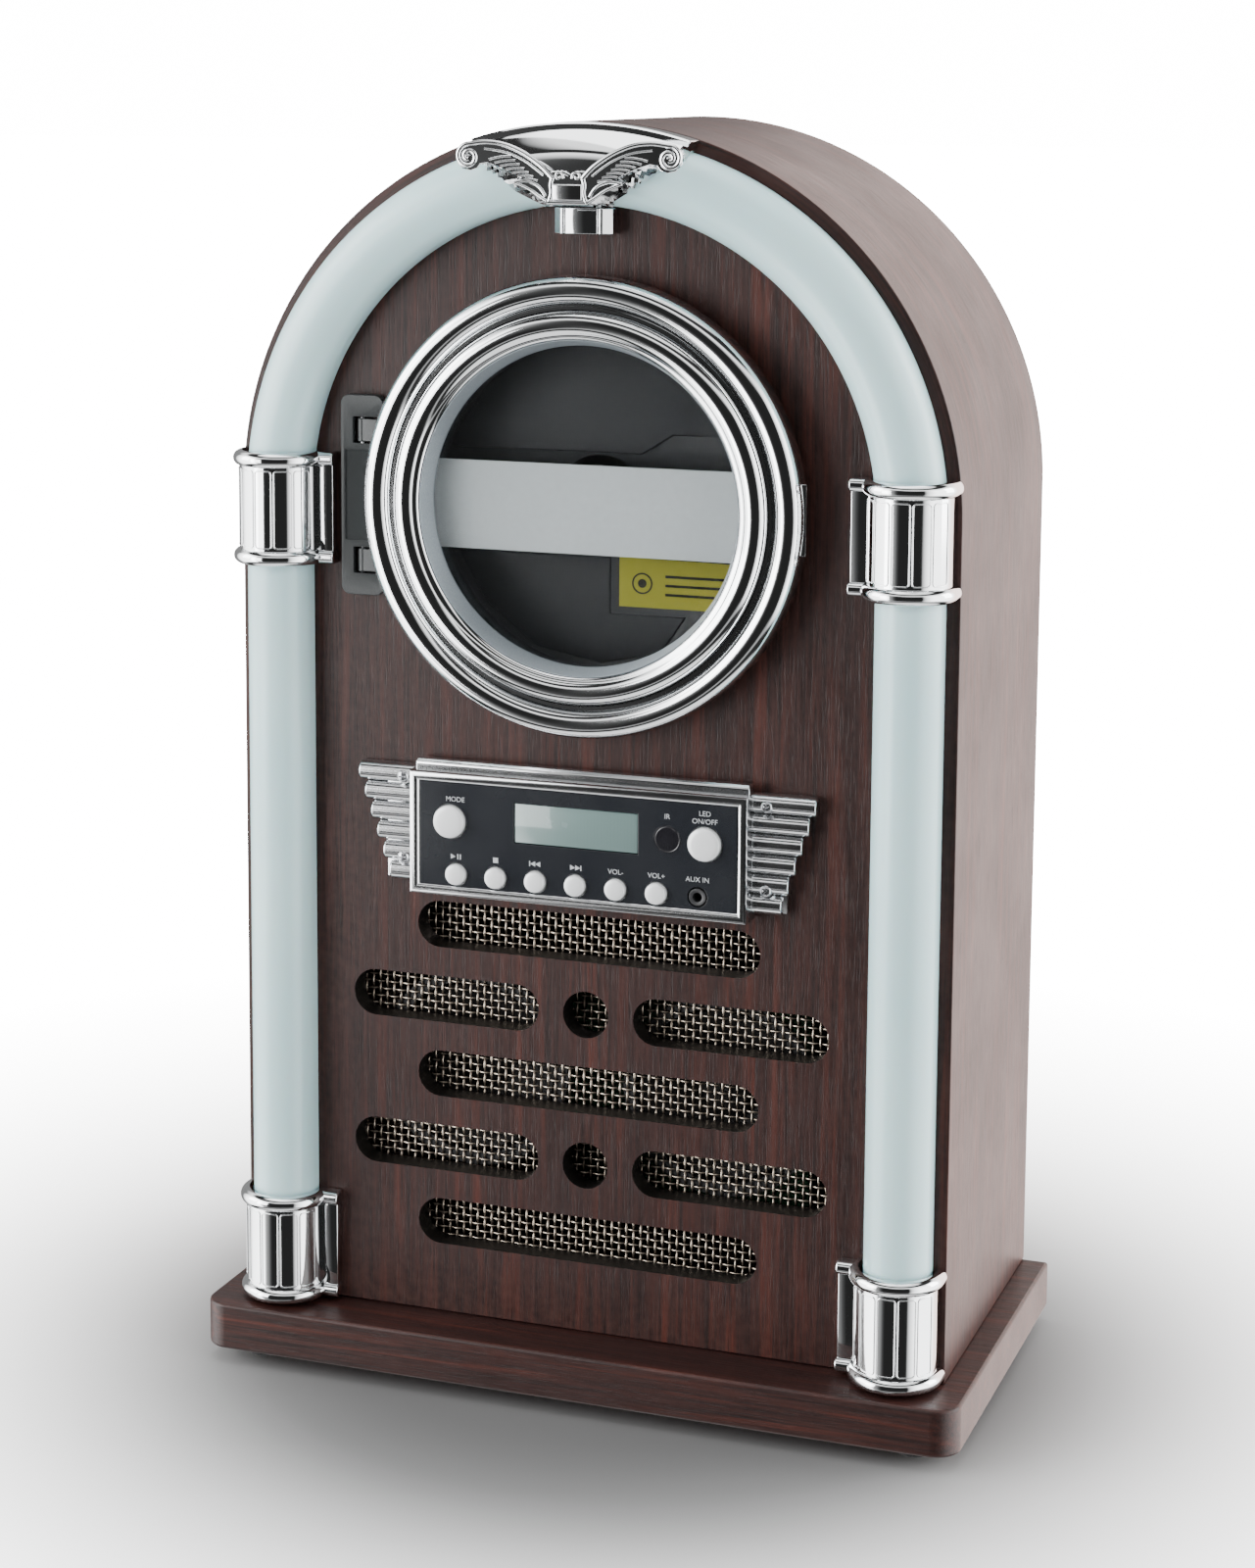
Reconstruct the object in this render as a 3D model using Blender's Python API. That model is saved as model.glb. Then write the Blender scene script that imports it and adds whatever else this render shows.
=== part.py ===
"""Tabletop jukebox: a round-topped wooden radio cabinet with a disc player behind a round hinged door.

Metres, +Z up. The front faces -Y. The origin is on the surface it stands on, under the middle of the
plinth. Faces that meet keep a gap of GAP between them.
"""

import math

import bmesh
import bpy
from mathutils import Matrix, Vector

# Driving dimensions
WIDTH = 0.280  # across the wooden case
DEPTH = 0.136  # of the case, front face to back edge
ARCH_Z = 0.3415  # height of the arch's centre, which the door shares
PLINTH_WIDTH = 0.300
PLINTH_DEPTH = 0.160
PLINTH_THICK = 0.018
FOOT_HEIGHT = 0.006
SHELL_WALL = 0.009
FRONT_THICK = 0.010
BACK_THICK = 0.004
TUBE_X = 0.1226  # middle of each light tube, and the arch tube's radius
TUBE_R = 0.0124
DISC_R = 0.060  # of the compact disc that the bay takes
GAP = 0.0003

# Worked out from them
HALF = WIDTH / 2
BACK = PLINTH_DEPTH / 2
FRONT = BACK - DEPTH
CASE_Z = FOOT_HEIGHT + PLINTH_THICK
INSIDE = HALF - SHELL_WALL - GAP  # half-width of the panels that fit in the shell

ROUND = 32  # sides of a large round piece
SMALL_ROUND = 12  # sides of a pin, screw or button


def clear_scene():
    for thing in list(bpy.data.objects):
        bpy.data.objects.remove(thing, do_unlink=True)


# Materials

MATERIALS = {}


def material(name, colour, roughness, metallic=0.0, alpha=1.0):
    made = bpy.data.materials.new(name)
    made.use_nodes = True
    shader = made.node_tree.nodes["Principled BSDF"]
    shader.inputs["Base Color"].default_value = (*colour, 1.0)
    shader.inputs["Roughness"].default_value = roughness
    shader.inputs["Metallic"].default_value = metallic
    shader.inputs["Alpha"].default_value = alpha
    MATERIALS[name] = made


def make_materials():
    material("walnut_vinyl", (0.085, 0.035, 0.030), 0.42)
    material("chrome", (0.86, 0.87, 0.88), 0.08, 1.0)
    material("milky_tube", (0.72, 0.78, 0.79), 0.35)
    material("black_plastic", (0.020, 0.021, 0.023), 0.5)
    material("grey_plastic", (0.045, 0.052, 0.052), 0.55)
    material("rim_plastic", (0.40, 0.45, 0.49), 0.4)
    material("clear_window", (0.9, 0.95, 0.95), 0.05, 0.0, 0.25)
    material("white_card", (0.60, 0.66, 0.69), 0.7)
    material("yellow_label", (0.50, 0.46, 0.03), 0.6)
    material("gloss_black", (0.014, 0.015, 0.018), 0.15)
    material("screen_glass", (0.19, 0.29, 0.24), 0.15)
    material("button_plastic", (0.68, 0.73, 0.77), 0.4)
    material("mesh_wire", (0.46, 0.40, 0.31), 0.35, 1.0)
    material("board", (0.03, 0.16, 0.06), 0.5)
    material("speaker_steel", (0.10, 0.10, 0.11), 0.4, 1.0)
    material("paper_cone", (0.025, 0.024, 0.024), 0.8)
    material("rubber", (0.012, 0.012, 0.012), 0.8)
    material("steel", (0.55, 0.56, 0.58), 0.25, 1.0)


# Shape helpers


def finish(name, mesh, slot):
    """Makes a bmesh into a named object whose faces point outwards."""
    bmesh.ops.remove_doubles(mesh, verts=mesh.verts, dist=1e-7)
    bmesh.ops.recalc_face_normals(mesh, faces=mesh.faces)
    data = bpy.data.meshes.new(name)
    mesh.to_mesh(data)
    mesh.free()
    made = bpy.data.objects.new(name, data)
    bpy.context.scene.collection.objects.link(made)
    if slot:
        data.materials.append(MATERIALS[slot])
    else:
        made.hide_render = True
        made.display_type = "WIRE"
    return made


def smooth(made, degrees=35):
    made.data.shade_smooth()
    made.data.set_sharp_from_angle(angle=math.radians(degrees))
    return made


def extruded(name, outline, low, high, along, slot):
    """A prism: outline holds pairs of the two axes other than along, in X, Y, Z order."""
    axes = [axis for axis in range(3) if axis != "XYZ".index(along)]
    mesh = bmesh.new()
    corners = []
    for pair in outline:
        place = [low, low, low]
        place[axes[0]], place[axes[1]] = pair
        corners.append(mesh.verts.new(place))
    face = mesh.faces.new(corners)
    top = bmesh.ops.extrude_face_region(mesh, geom=[face])
    moved = [item for item in top["geom"] if isinstance(item, bmesh.types.BMVert)]
    step = Vector((0.0, 0.0, 0.0))
    step["XYZ".index(along)] = high - low
    bmesh.ops.translate(mesh, vec=step, verts=moved)
    return finish(name, mesh, slot)


def block(name, x, y, z, slot):
    """A box between pairs of X, Y and Z."""
    outline = [(x[0], y[0]), (x[1], y[0]), (x[1], y[1]), (x[0], y[1])]
    return extruded(name, outline, z[0], z[1], "Z", slot)


def turned(name, profile, centre, along, slot, sides=ROUND):
    """A turned piece: profile is a closed outline of (radius, height) and its axis runs through centre."""
    mesh = bmesh.new()
    rings = []
    for radius, height in profile:
        if radius < 1e-9:
            rings.append([mesh.verts.new((0.0, 0.0, height))] * sides)
            continue
        turns = [2 * math.pi * step / sides for step in range(sides)]
        rings.append([mesh.verts.new((radius * math.cos(a), radius * math.sin(a), height)) for a in turns])
    for one, two in zip(rings, rings[1:] + rings[:1]):
        for step in range(sides):
            after = (step + 1) % sides
            corners = list(dict.fromkeys((one[step], one[after], two[after], two[step])))
            if len(corners) > 2:
                mesh.faces.new(corners)
    turn = {"X": Matrix.Rotation(math.pi / 2, 4, "Y"), "Z": Matrix.Identity(4),
            "Y": Matrix.Rotation(-math.pi / 2, 4, "X")}[along]
    bmesh.ops.transform(mesh, matrix=Matrix.Translation(centre) @ turn, verts=mesh.verts)
    return smooth(finish(name, mesh, slot))


def rod(name, radius, low, high, centre, along, slot, sides=SMALL_ROUND):
    """A cylinder from low to high along its axis through centre."""
    length = high - low
    mesh = bmesh.new()
    bmesh.ops.create_cone(
        mesh, cap_ends=True, segments=sides, radius1=radius, radius2=radius, depth=length
    )
    place = list(centre)
    place["XYZ".index(along)] = low + length / 2
    turn = {"X": Matrix.Rotation(math.pi / 2, 4, "Y"), "Z": Matrix.Identity(4),
            "Y": Matrix.Rotation(-math.pi / 2, 4, "X")}[along]
    bmesh.ops.transform(mesh, matrix=Matrix.Translation(place) @ turn, verts=mesh.verts)
    return smooth(finish(name, mesh, slot))


def combine(target, operation, *others):
    for other in others:
        step = target.modifiers.new(operation.lower(), "BOOLEAN")
        step.operation = operation
        step.object = other
        other.hide_render = True
        other.display_type = "WIRE"
    return target


def cut(target, *others):
    return combine(target, "DIFFERENCE", *others)


def join(target, *others):
    return combine(target, "UNION", *others)


def arc(radius, start, end, steps, centre=(0.0, 0.0)):
    """Points on a circle, between two angles in degrees."""
    angles = [math.radians(start + (end - start) * step / steps) for step in range(steps + 1)]
    return [(centre[0] + radius * math.cos(a), centre[1] + radius * math.sin(a)) for a in angles]


def arched(half, base, steps=28):
    """Outline of a round-topped board, half its width to each side, down to the height base."""
    return [(half, base), *arc(half, 0, 180, steps, (0, ARCH_Z)), (-half, base)]


def slot_outline(x_low, x_high, height, z):
    """A slot with round ends."""
    radius = height / 2
    right = arc(radius, -90, 90, 6, (x_high - radius, z))
    left = arc(radius, 90, 270, 6, (x_low + radius, z))
    return right + left


# The wooden case


def make_case():
    shell = arched(HALF, CASE_Z + GAP) + arched(HALF - SHELL_WALL, CASE_Z + GAP)[::-1]
    smooth(extruded("cabinet_shell", shell, FRONT, BACK, "Y", "walnut_vinyl"))

    corner = 0.010
    outline = [
        (PLINTH_WIDTH / 2, BACK), (-PLINTH_WIDTH / 2, BACK),
        *arc(corner, 180, 270, 6, (-PLINTH_WIDTH / 2 + corner, -BACK + corner)),
        *arc(corner, 270, 360, 6, (PLINTH_WIDTH / 2 - corner, -BACK + corner)),
    ]
    plinth = extruded("plinth", outline, FOOT_HEIGHT, CASE_Z, "Z", "walnut_vinyl")
    edge = plinth.modifiers.new("soft_edge", "BEVEL")
    edge.width = 0.0012
    edge.segments = 2
    edge.limit_method = "ANGLE"
    edge.angle_limit = math.radians(60)
    smooth(plinth)

    for side, x in (("left", -0.131), ("right", 0.131)):
        for end, y in (("front", -0.062), ("back", 0.062)):
            foot = [(0.0, 0.0), (0.0062, 0.0), (0.0072, 0.0008), (0.0078, FOOT_HEIGHT - GAP),
                    (0.0, FOOT_HEIGHT - GAP)]
            turned(f"foot_{end}_{side}", foot, (x, y, 0), "Z", "rubber", 16)


# The front board, its sound slots and the wire mesh behind them

SLOT_HEIGHT = 0.018
ROW_PITCH = 0.02938
TOP_ROW_Z = 0.1780
BAY_HOLE_R = 0.0662
PANEL_Z = 0.2164  # middle of the control panel
SCREW_X = 0.0715
SCREW_ZS = (0.2357, 0.2045)


def make_front():
    front = extruded("front_panel", arched(INSIDE, CASE_Z + GAP), FRONT, FRONT + FRONT_THICK, "Y",
                     "walnut_vinyl")
    reach = (FRONT - 0.01, FRONT + FRONT_THICK + 0.01)
    cutters = [rod("bay_cutter", BAY_HOLE_R, *reach, (0, 0, ARCH_Z), "Y", None, ROUND),
               block("wire_cutter", (-0.054, 0.054), reach, (PANEL_Z - 0.014, PANEL_Z + 0.014), None)]
    long_slot, short_in, short_out = 0.068, 0.0188, 0.0946
    for row in range(5):
        z = TOP_ROW_Z - row * ROW_PITCH
        if row % 2 == 0:
            spans = [(-long_slot, long_slot)]
        else:
            spans = [(-short_out, -short_in), (short_in, short_out)]
            cutters.append(rod(f"round_cutter_{row}", SLOT_HEIGHT / 2, *reach, (0, 0, z), "Y", None, 16))
        for number, (low, high) in enumerate(spans):
            cutters.append(extruded(f"slot_cutter_{row}_{number}", slot_outline(low, high, SLOT_HEIGHT, z),
                                    *reach, "Y", None))
    for side in (-1, 1):
        for z in SCREW_ZS:
            cutters.append(rod(f"screw_cutter_{side}_{z}", 0.0016, *reach, (side * SCREW_X, 0, z), "Y",
                               None, 12))
    cut(front, *cutters)

    mesh_y = FRONT + FRONT_THICK + GAP
    block("grille_mesh", (-0.101, 0.101), (mesh_y, mesh_y + 0.0008), (0.047, 0.189), "mesh_wire")


# The back board, the power inlet and the amplifier board

INLET_X, INLET_Z = -0.090, 0.052


def make_back():
    face = BACK - 0.002  # the board sits just inside the shell's back edge
    back = extruded("back_panel", arched(INSIDE, CASE_Z + GAP), face - BACK_THICK, face, "Y",
                    "black_plastic")
    reach = (face - BACK_THICK - 0.01, face + 0.01)
    cutters = [rod("inlet_cutter", 0.0064, *reach, (INLET_X, 0, INLET_Z), "Y", None, 16)]
    for number in range(7):
        z = 0.215 + number * 0.011
        cutters.append(extruded(f"vent_cutter_{number}", slot_outline(-0.045, 0.045, 0.0045, z),
                                *reach, "Y", None))
    cut(back, *cutters)

    flange = face + GAP
    inlet = [(0.0, flange - 0.014), (0.006, flange - 0.014), (0.006, flange), (0.008, flange),
             (0.008, flange + 0.0012), (0.0032, flange + 0.0012), (0.0032, flange - 0.009),
             (0.001, flange - 0.009), (0.001, flange - 0.001), (0.0, flange - 0.001)]
    turned("dc_inlet", inlet, (INLET_X, 0, INLET_Z), "Y", "black_plastic", 14)
    block("main_board", (-0.055, 0.055), (0.0600, 0.0616), (0.040, 0.125), "board")


# Two loudspeakers behind the mesh

SPEAKER_X = 0.050
SPEAKER_Z = TOP_ROW_Z - 2 * ROW_PITCH


def make_speakers():
    seat = FRONT + FRONT_THICK + 0.0014  # behind the mesh
    for side, x in (("left", -SPEAKER_X), ("right", SPEAKER_X)):
        basket = [(0.0, 0.036), (0.0, 0.0215), (0.018, 0.0205), (0.034, 0.0065), (0.034, 0.0),
                  (0.039, 0.0), (0.039, 0.002), (0.036, 0.0075), (0.022, 0.022), (0.022, 0.036)]
        cone = [(0.0, 0.0085), (0.008, 0.0100), (0.012, 0.0130), (0.0325, 0.0022), (0.0325, 0.0032),
                (0.012, 0.0142), (0.0, 0.0142)]
        for part, profile, slot in (("basket", basket, "speaker_steel"), ("cone", cone, "paper_cone")):
            placed = [(radius, seat + depth) for radius, depth in profile]
            turned(f"speaker_{part}_{side}", placed, (x, 0, SPEAKER_Z), "Y", slot, 20)


# Light tubes: milky covers over strips of lamps

TUBE_WALL = 0.0016
TUBE_RISE = 0.004  # straight skirt between the board and the round of the tube
TUBE_JOINT_Z = ARCH_Z - 0.006  # inside the upper collars
TUBE_FOOT_Z = 0.0315
COLLAR_HEIGHT = 0.043
COLLAR_ZS = {"upper": 0.3145, "lower": 0.0252}


def tube_section(steps=6):
    """Pairs of (distance from the tube's middle, distance in front of the board)."""
    outer = arc(TUBE_R, 0, 180, steps, (0, TUBE_RISE))
    inner = arc(TUBE_R - TUBE_WALL, 180, 0, steps, (0, TUBE_RISE))
    inside = TUBE_R - TUBE_WALL
    return [(TUBE_R, GAP), *outer, (-TUBE_R, GAP), (-inside, GAP), *inner, (inside, GAP)]


def make_tubes():
    mesh = bmesh.new()
    face = mesh.faces.new([mesh.verts.new((TUBE_X + u, FRONT - out, ARCH_Z)) for u, out in tube_section()])
    spun = bmesh.ops.spin(
        mesh, geom=[face], cent=(0, 0, ARCH_Z), axis=(0, -1, 0), dvec=(0, 0, 0),
        angle=math.pi, steps=24,
    )
    ends = [item for item in spun["geom_last"] if isinstance(item, bmesh.types.BMFace)]
    ends.append(next(flat for flat in mesh.faces if len(flat.verts) > 4
                     and flat.calc_center_median().x > 0))
    for end in ends:
        grown = bmesh.ops.extrude_face_region(mesh, geom=[end])
        leg = [item for item in grown["geom"] if isinstance(item, bmesh.types.BMVert)]
        bmesh.ops.translate(mesh, vec=(0, 0, TUBE_JOINT_Z + GAP - ARCH_Z), verts=leg)
    spare = [flat for flat in mesh.faces if len(flat.verts) > 4
             and abs(flat.calc_center_median().z - ARCH_Z) < 1e-5]
    bmesh.ops.delete(mesh, geom=spare, context="FACES_ONLY")
    smooth(finish("tube_arch", mesh, "milky_tube"))

    strip = (FRONT - 0.0016, FRONT - 0.0006)
    for side, x in (("left", -TUBE_X), ("right", TUBE_X)):
        section = [(x + u, FRONT - out) for u, out in tube_section()]
        smooth(extruded(f"tube_{side}", section, TUBE_FOOT_Z, TUBE_JOINT_Z, "Z", "milky_tube"))
        block(f"led_strip_{side}", (x - 0.004, x + 0.004), strip, (0.037, 0.330), "board")
    band = arc(TUBE_X + 0.004, 4, 176, 16, (0, ARCH_Z)) + arc(TUBE_X - 0.004, 176, 4, 16, (0, ARCH_Z))
    extruded("led_strip_arch", band, *strip, "Y", "board")


def tube_cover(name, radius, middle, low, high, slot):
    """A solid half-round cover that stands on the front board, over one tube."""
    arch = [(middle + u, FRONT - out) for u, out in arc(radius, 0, 180, 8, (0, TUBE_RISE))]
    outline = [(middle + radius, FRONT - GAP), *arch, (middle - radius, FRONT - GAP)]
    return extruded(name, outline, low, high, "Z", slot)


def make_collars():
    barrel_r, rim_r, rim_height = 0.0154, 0.0173, 0.005
    flange_x, flange_out, lip_out, lip_height = 0.1000, 0.0045, 0.0068, 0.0052
    for side, sign in (("left", -1), ("right", 1)):
        middle = sign * TUBE_X
        for level, low in COLLAR_ZS.items():
            high = low + COLLAR_HEIGHT
            name = f"collar_{level}_{side}"
            collar = tube_cover(name, barrel_r, middle, low + 0.001, high - 0.001, "chrome")
            across = sorted((sign * flange_x, middle))
            edge = sorted((sign * flange_x, sign * (TUBE_X - barrel_r + 0.002)))
            additions = []
            for number, (bottom, top) in enumerate(((low, low + rim_height), (high - rim_height, high))):
                rim = tube_cover(f"{name}_rim_{number}", rim_r, middle, bottom, top, None)
                round_edge = rim.modifiers.new("bead", "BEVEL")
                round_edge.width = 0.0016
                round_edge.segments = 2
                round_edge.limit_method = "ANGLE"
                round_edge.angle_limit = math.radians(60)
                additions.append(rim)
            additions.append(block(f"{name}_plate", across, (FRONT - flange_out, FRONT - GAP),
                                   (low + 0.002, high - 0.002), None))
            for number, bottom in enumerate((low + 0.0002, high - lip_height - 0.0002)):
                additions.append(block(f"{name}_lip_{number}", edge, (FRONT - lip_out, FRONT - GAP * 1.5),
                                       (bottom, bottom + lip_height), None))
            join(collar, *additions)
            bores = [(middle, low - 0.01)]
            if level == "upper":  # the tube starts to bend inwards here
                bores.append((middle - sign * 0.0011, ARCH_Z + 0.002))
            for number, (bore_x, bottom) in enumerate(bores):
                bore_r = TUBE_R + GAP
                cut(collar, tube_cover(f"{name}_bore_{number}", bore_r, bore_x, bottom, high + 0.01, None),
                    block(f"{name}_base_{number}", (bore_x - bore_r, bore_x + bore_r),
                          (FRONT - 0.003, FRONT + 0.003), (bottom, high + 0.01), None))


# The clasp over the middle of the arch, its winged ornament and the buckle under it

CLASP_R = 0.0172
CLASP_FRONT = TUBE_RISE + CLASP_R


def make_clasp():
    bore = TUBE_R + 2 * GAP
    section = [(CLASP_R, GAP), *arc(CLASP_R, 0, 180, 10, (0, TUBE_RISE)), (-CLASP_R, GAP),
               (-bore, GAP), *arc(bore, 180, 0, 10, (0, TUBE_RISE)), (bore, GAP)]
    half_angle = math.radians(17.4)
    mesh = bmesh.new()
    face = mesh.faces.new([mesh.verts.new((0, FRONT - out, ARCH_Z + TUBE_X + u)) for u, out in section])
    bmesh.ops.rotate(mesh, cent=(0, 0, ARCH_Z), matrix=Matrix.Rotation(half_angle, 3, "Y"),
                     verts=mesh.verts)
    bmesh.ops.spin(mesh, geom=[face], cent=(0, 0, ARCH_Z), axis=(0, -1, 0), dvec=(0, 0, 0),
                   angle=2 * half_angle, steps=8)
    clasp = smooth(finish("top_clasp", mesh, "chrome"))
    buckle_top = ARCH_Z + TUBE_X - TUBE_R - 4 * GAP  # just under the tube
    low, high = buckle_top + GAP, ARCH_Z + HALF - 0.008
    for side, sign in (("left", -1), ("right", 1)):
        outline = [(sign * 0.0085, low), (sign * 0.0440, high), (sign * 0.070, high),
                   (sign * 0.070, low - 0.01), (sign * 0.0085, low - 0.01)]
        cut(clasp, extruded(f"clasp_cutter_{side}", outline, FRONT - 0.05, FRONT + 0.01, "Y", None))
    cut(clasp, block("clasp_foot_cutter", (-0.030, 0.030), (FRONT - 0.05, FRONT + 0.01), (low - 0.03, low), None))

    # The ornament's outline, from the middle of its foot round one wing.
    wing = [
        (0.0076, -0.0125), (0.0125, -0.0110), (0.0150, -0.0070), (0.0208, -0.0050), (0.0180, -0.0020),
        (0.0225, -0.0005), (0.0300, 0.0022), (0.0335, 0.0008), (0.0358, -0.0012), (0.0390, -0.0017),
        (0.0420, 0.0005), (0.0432, 0.0038), (0.0415, 0.0076), (0.0375, 0.0098), (0.0320, 0.0103),
        (0.0250, 0.0093), (0.0175, 0.0064), (0.0115, 0.0020), (0.0085, -0.0005), (0.0060, 0.0000),
        (0.0035, 0.0000), (0.0012, -0.0022),
    ]
    top = ARCH_Z + TUBE_X
    outline = [(x, top + z) for x, z in wing] + [(-x, top + z) for x, z in reversed(wing)]
    extruded("wing_ornament", outline, FRONT - CLASP_FRONT - 0.0028, FRONT - CLASP_FRONT - GAP, "Y",
             "chrome")

    buckle = [(-0.0112, -GAP), (-0.0112, -0.0056), (-0.0062, -0.0088), (0.0062, -0.0088),
              (0.0112, -0.0056), (0.0112, -GAP)]
    extruded("clasp_buckle", [(x, FRONT + y) for x, y in buckle], buckle_top - 0.0093, buckle_top, "Z",
             "chrome")


# The round door: a chrome ring, its inner rim and a clear pane, hinged on its left

HINGE_X = -0.089
HINGE_OUT = 0.0023  # in front of the board
LUG_Z = 0.0246  # from the door's middle
RING_R = 0.085
LIP_R = DISC_R + 0.0021


def make_hinge():
    left, right, half, corner = -0.0972, -0.0800, 0.0378, 0.0034
    outline = [(right, ARCH_Z - half), (right, ARCH_Z + half),
               *arc(corner, 90, 180, 4, (left + corner, ARCH_Z + half - corner)),
               *arc(corner, 180, 270, 4, (left + corner, ARCH_Z - half + corner))]
    plate = extruded("hinge_plate", outline, FRONT - 0.0042, FRONT - GAP, "Y", "grey_plastic")
    axis = (HINGE_X, FRONT - HINGE_OUT, ARCH_Z)
    for number, sign in enumerate((-1, 1)):
        middle = ARCH_Z + sign * LUG_Z
        cut(plate, block(f"lug_cutter_{number}", (-0.0922, right + 0.01), (FRONT - 0.01, FRONT + 0.01),
                         (middle - 0.0050, middle + 0.0050), None))
    cut(plate, rod("pin_cutter", 0.00095, ARCH_Z - 0.0345, ARCH_Z + 0.0345, axis, "Z", None, 12))
    rod("hinge_pin", 0.0008, ARCH_Z - 0.0340, ARCH_Z + 0.0340, axis, "Z", "steel", 12)


def make_door():
    ring_back, rebate = 0.0046, 0.0107  # distances in front of the board
    profile = [
        (RING_R, ring_back), (RING_R, 0.0105), (0.0830, 0.0140), (0.0800, 0.0151), (0.0764, 0.0138),
        (0.0748, 0.0115), (0.0728, 0.0125), (0.0710, 0.0147), (0.0686, 0.0158), (0.0640, 0.0148),
        (LIP_R, 0.0131), (LIP_R, rebate), (0.0652, rebate), (0.0652, ring_back),
    ]
    centre = (0, 0, ARCH_Z)
    ring = turned("door_ring", [(r, FRONT - out) for r, out in profile], centre, "Y", "chrome", 40)
    axis_y = FRONT - HINGE_OUT
    for number, sign in enumerate((-1, 1)):
        middle = ARCH_Z + sign * LUG_Z
        span = (middle - 0.0043, middle + 0.0043)
        join(ring,
             block(f"lug_arm_{number}", (HINGE_X, -0.0790), (axis_y - 0.0018, axis_y + 0.0013), span, None),
             block(f"lug_foot_{number}", (-0.0840, -0.0785), (FRONT - 0.0065, FRONT - 0.0014),
                   (span[0] + 0.0002, span[1] - 0.0002), None),
             rod(f"lug_knuckle_{number}", 0.0019, span[0] - 0.0002, span[1] + 0.0002,
                 (HINGE_X, axis_y, 0), "Z", None))
    join(ring, block("finger_tab", (0.0840, 0.0866), (FRONT - 0.0096, FRONT - 0.0072),
                     (ARCH_Z - 0.013, ARCH_Z + 0.013), None))
    cut(ring, rod("lug_bore", 0.00095, ARCH_Z - 0.04, ARCH_Z + 0.04, (HINGE_X, axis_y, 0), "Z", None, 12))

    pane_r = 0.0647
    rim = [(LIP_R - GAP, 0.0128), (LIP_R - GAP, rebate - GAP), (pane_r + 0.0002, rebate - GAP),
           (pane_r + 0.0002, 0.0039), (0.0592, 0.0039), (0.0592, 0.0052)]
    turned("door_rim", [(r, FRONT - out) for r, out in rim], centre, "Y", "rim_plastic", ROUND)
    rod("door_window", pane_r, FRONT - 0.0036, FRONT - 0.0024, centre, "Y", "clear_window", ROUND)


# The disc player behind the door

HUB_NOSE_R = 0.0074
SLED_Z = ARCH_Z  # the lens travels along the disc's radius
LENS_X = 0.024
SLED_TRAVEL = 0.034
GEAR_MODULE = 0.0008
GEAR_TEETH = 12
GEAR_X = 0.045
GEAR_R = GEAR_MODULE * GEAR_TEETH / 2
RACK_Z = SLED_Z - 0.0135  # pitch line of the rack, which runs under the spindle motor


def make_bay():
    inner, wall, flange = 0.064, 0.0018, 0.074
    mouth, floor, back = FRONT + GAP, FRONT + 0.015, FRONT + 0.017
    shelf = FRONT + FRONT_THICK + GAP
    profile = [(inner, mouth), (inner + wall, mouth), (inner + wall, shelf), (flange, shelf),
               (flange, shelf + 0.002), (inner + wall, shelf + 0.002), (inner + wall, back),
               (0.017, back), (0.017, floor), (inner, floor)]
    tray = turned("bay_tray", profile, (0, 0, ARCH_Z), "Y", "black_plastic", ROUND)
    cut(tray, block("lens_cutter", (0.010, LENS_X + SLED_TRAVEL + 0.0045), (floor - 0.005, back + 0.005),
                    (SLED_Z - 0.0045, SLED_Z + 0.0045), None))

    block("transport_strip", (-0.070, 0.070), (FRONT - 0.0012, FRONT - 0.0004),
          (ARCH_Z - 0.0181, ARCH_Z + 0.0151), "white_card")
    label = [(0.0075, -0.0390), (0.0500, -0.0390), *arc(0.0634, -37, -19.6, 4), (0.0075, -0.0205)]
    extruded("yellow_label", [(x, ARCH_Z + z) for x, z in label], floor - 0.0007, floor - GAP, "Y",
             "yellow_label")

    shaft_end = FRONT + 0.0240
    hub = [(0.0, 0.0050), (0.0064, 0.0050), (HUB_NOSE_R, 0.0062), (HUB_NOSE_R, 0.0088), (0.014, 0.0088),
           (0.014, 0.0108), (0.005, 0.0112), (0.005, 0.0150), (0.0015, 0.0150)]
    placed = [(radius, FRONT + depth) for radius, depth in hub] + [(0.0015, shaft_end), (0.0, shaft_end)]
    turned("turntable_hub", placed, (0, 0, ARCH_Z), "Y", "black_plastic", 20)
    motor_front, motor_back = FRONT + 0.0193, FRONT + 0.0297
    motor = [(0.0, shaft_end + 0.0005), (0.0017, shaft_end + 0.0005), (0.0017, motor_front),
             (0.0105, motor_front), (0.0105, motor_back), (0.0, motor_back)]
    turned("spindle_motor", motor, (0, 0, ARCH_Z), "Y", "steel", 16)


def toothed(count, tip, root, pitch, share_tip, share_root, start):
    """Outline of a small gear, with trapezium teeth thin enough to run with backlash."""
    points = []
    step = 2 * math.pi / count
    for tooth in range(count):
        middle = start + tooth * step
        for radius, share, sign in ((root, share_root, -1), (tip, share_tip, -1), (tip, share_tip, 1),
                                    (root, share_root, 1)):
            angle = middle + sign * share * pitch / 2 / GEAR_R
            points.append((radius * math.cos(angle), radius * math.sin(angle)))
    return points


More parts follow.
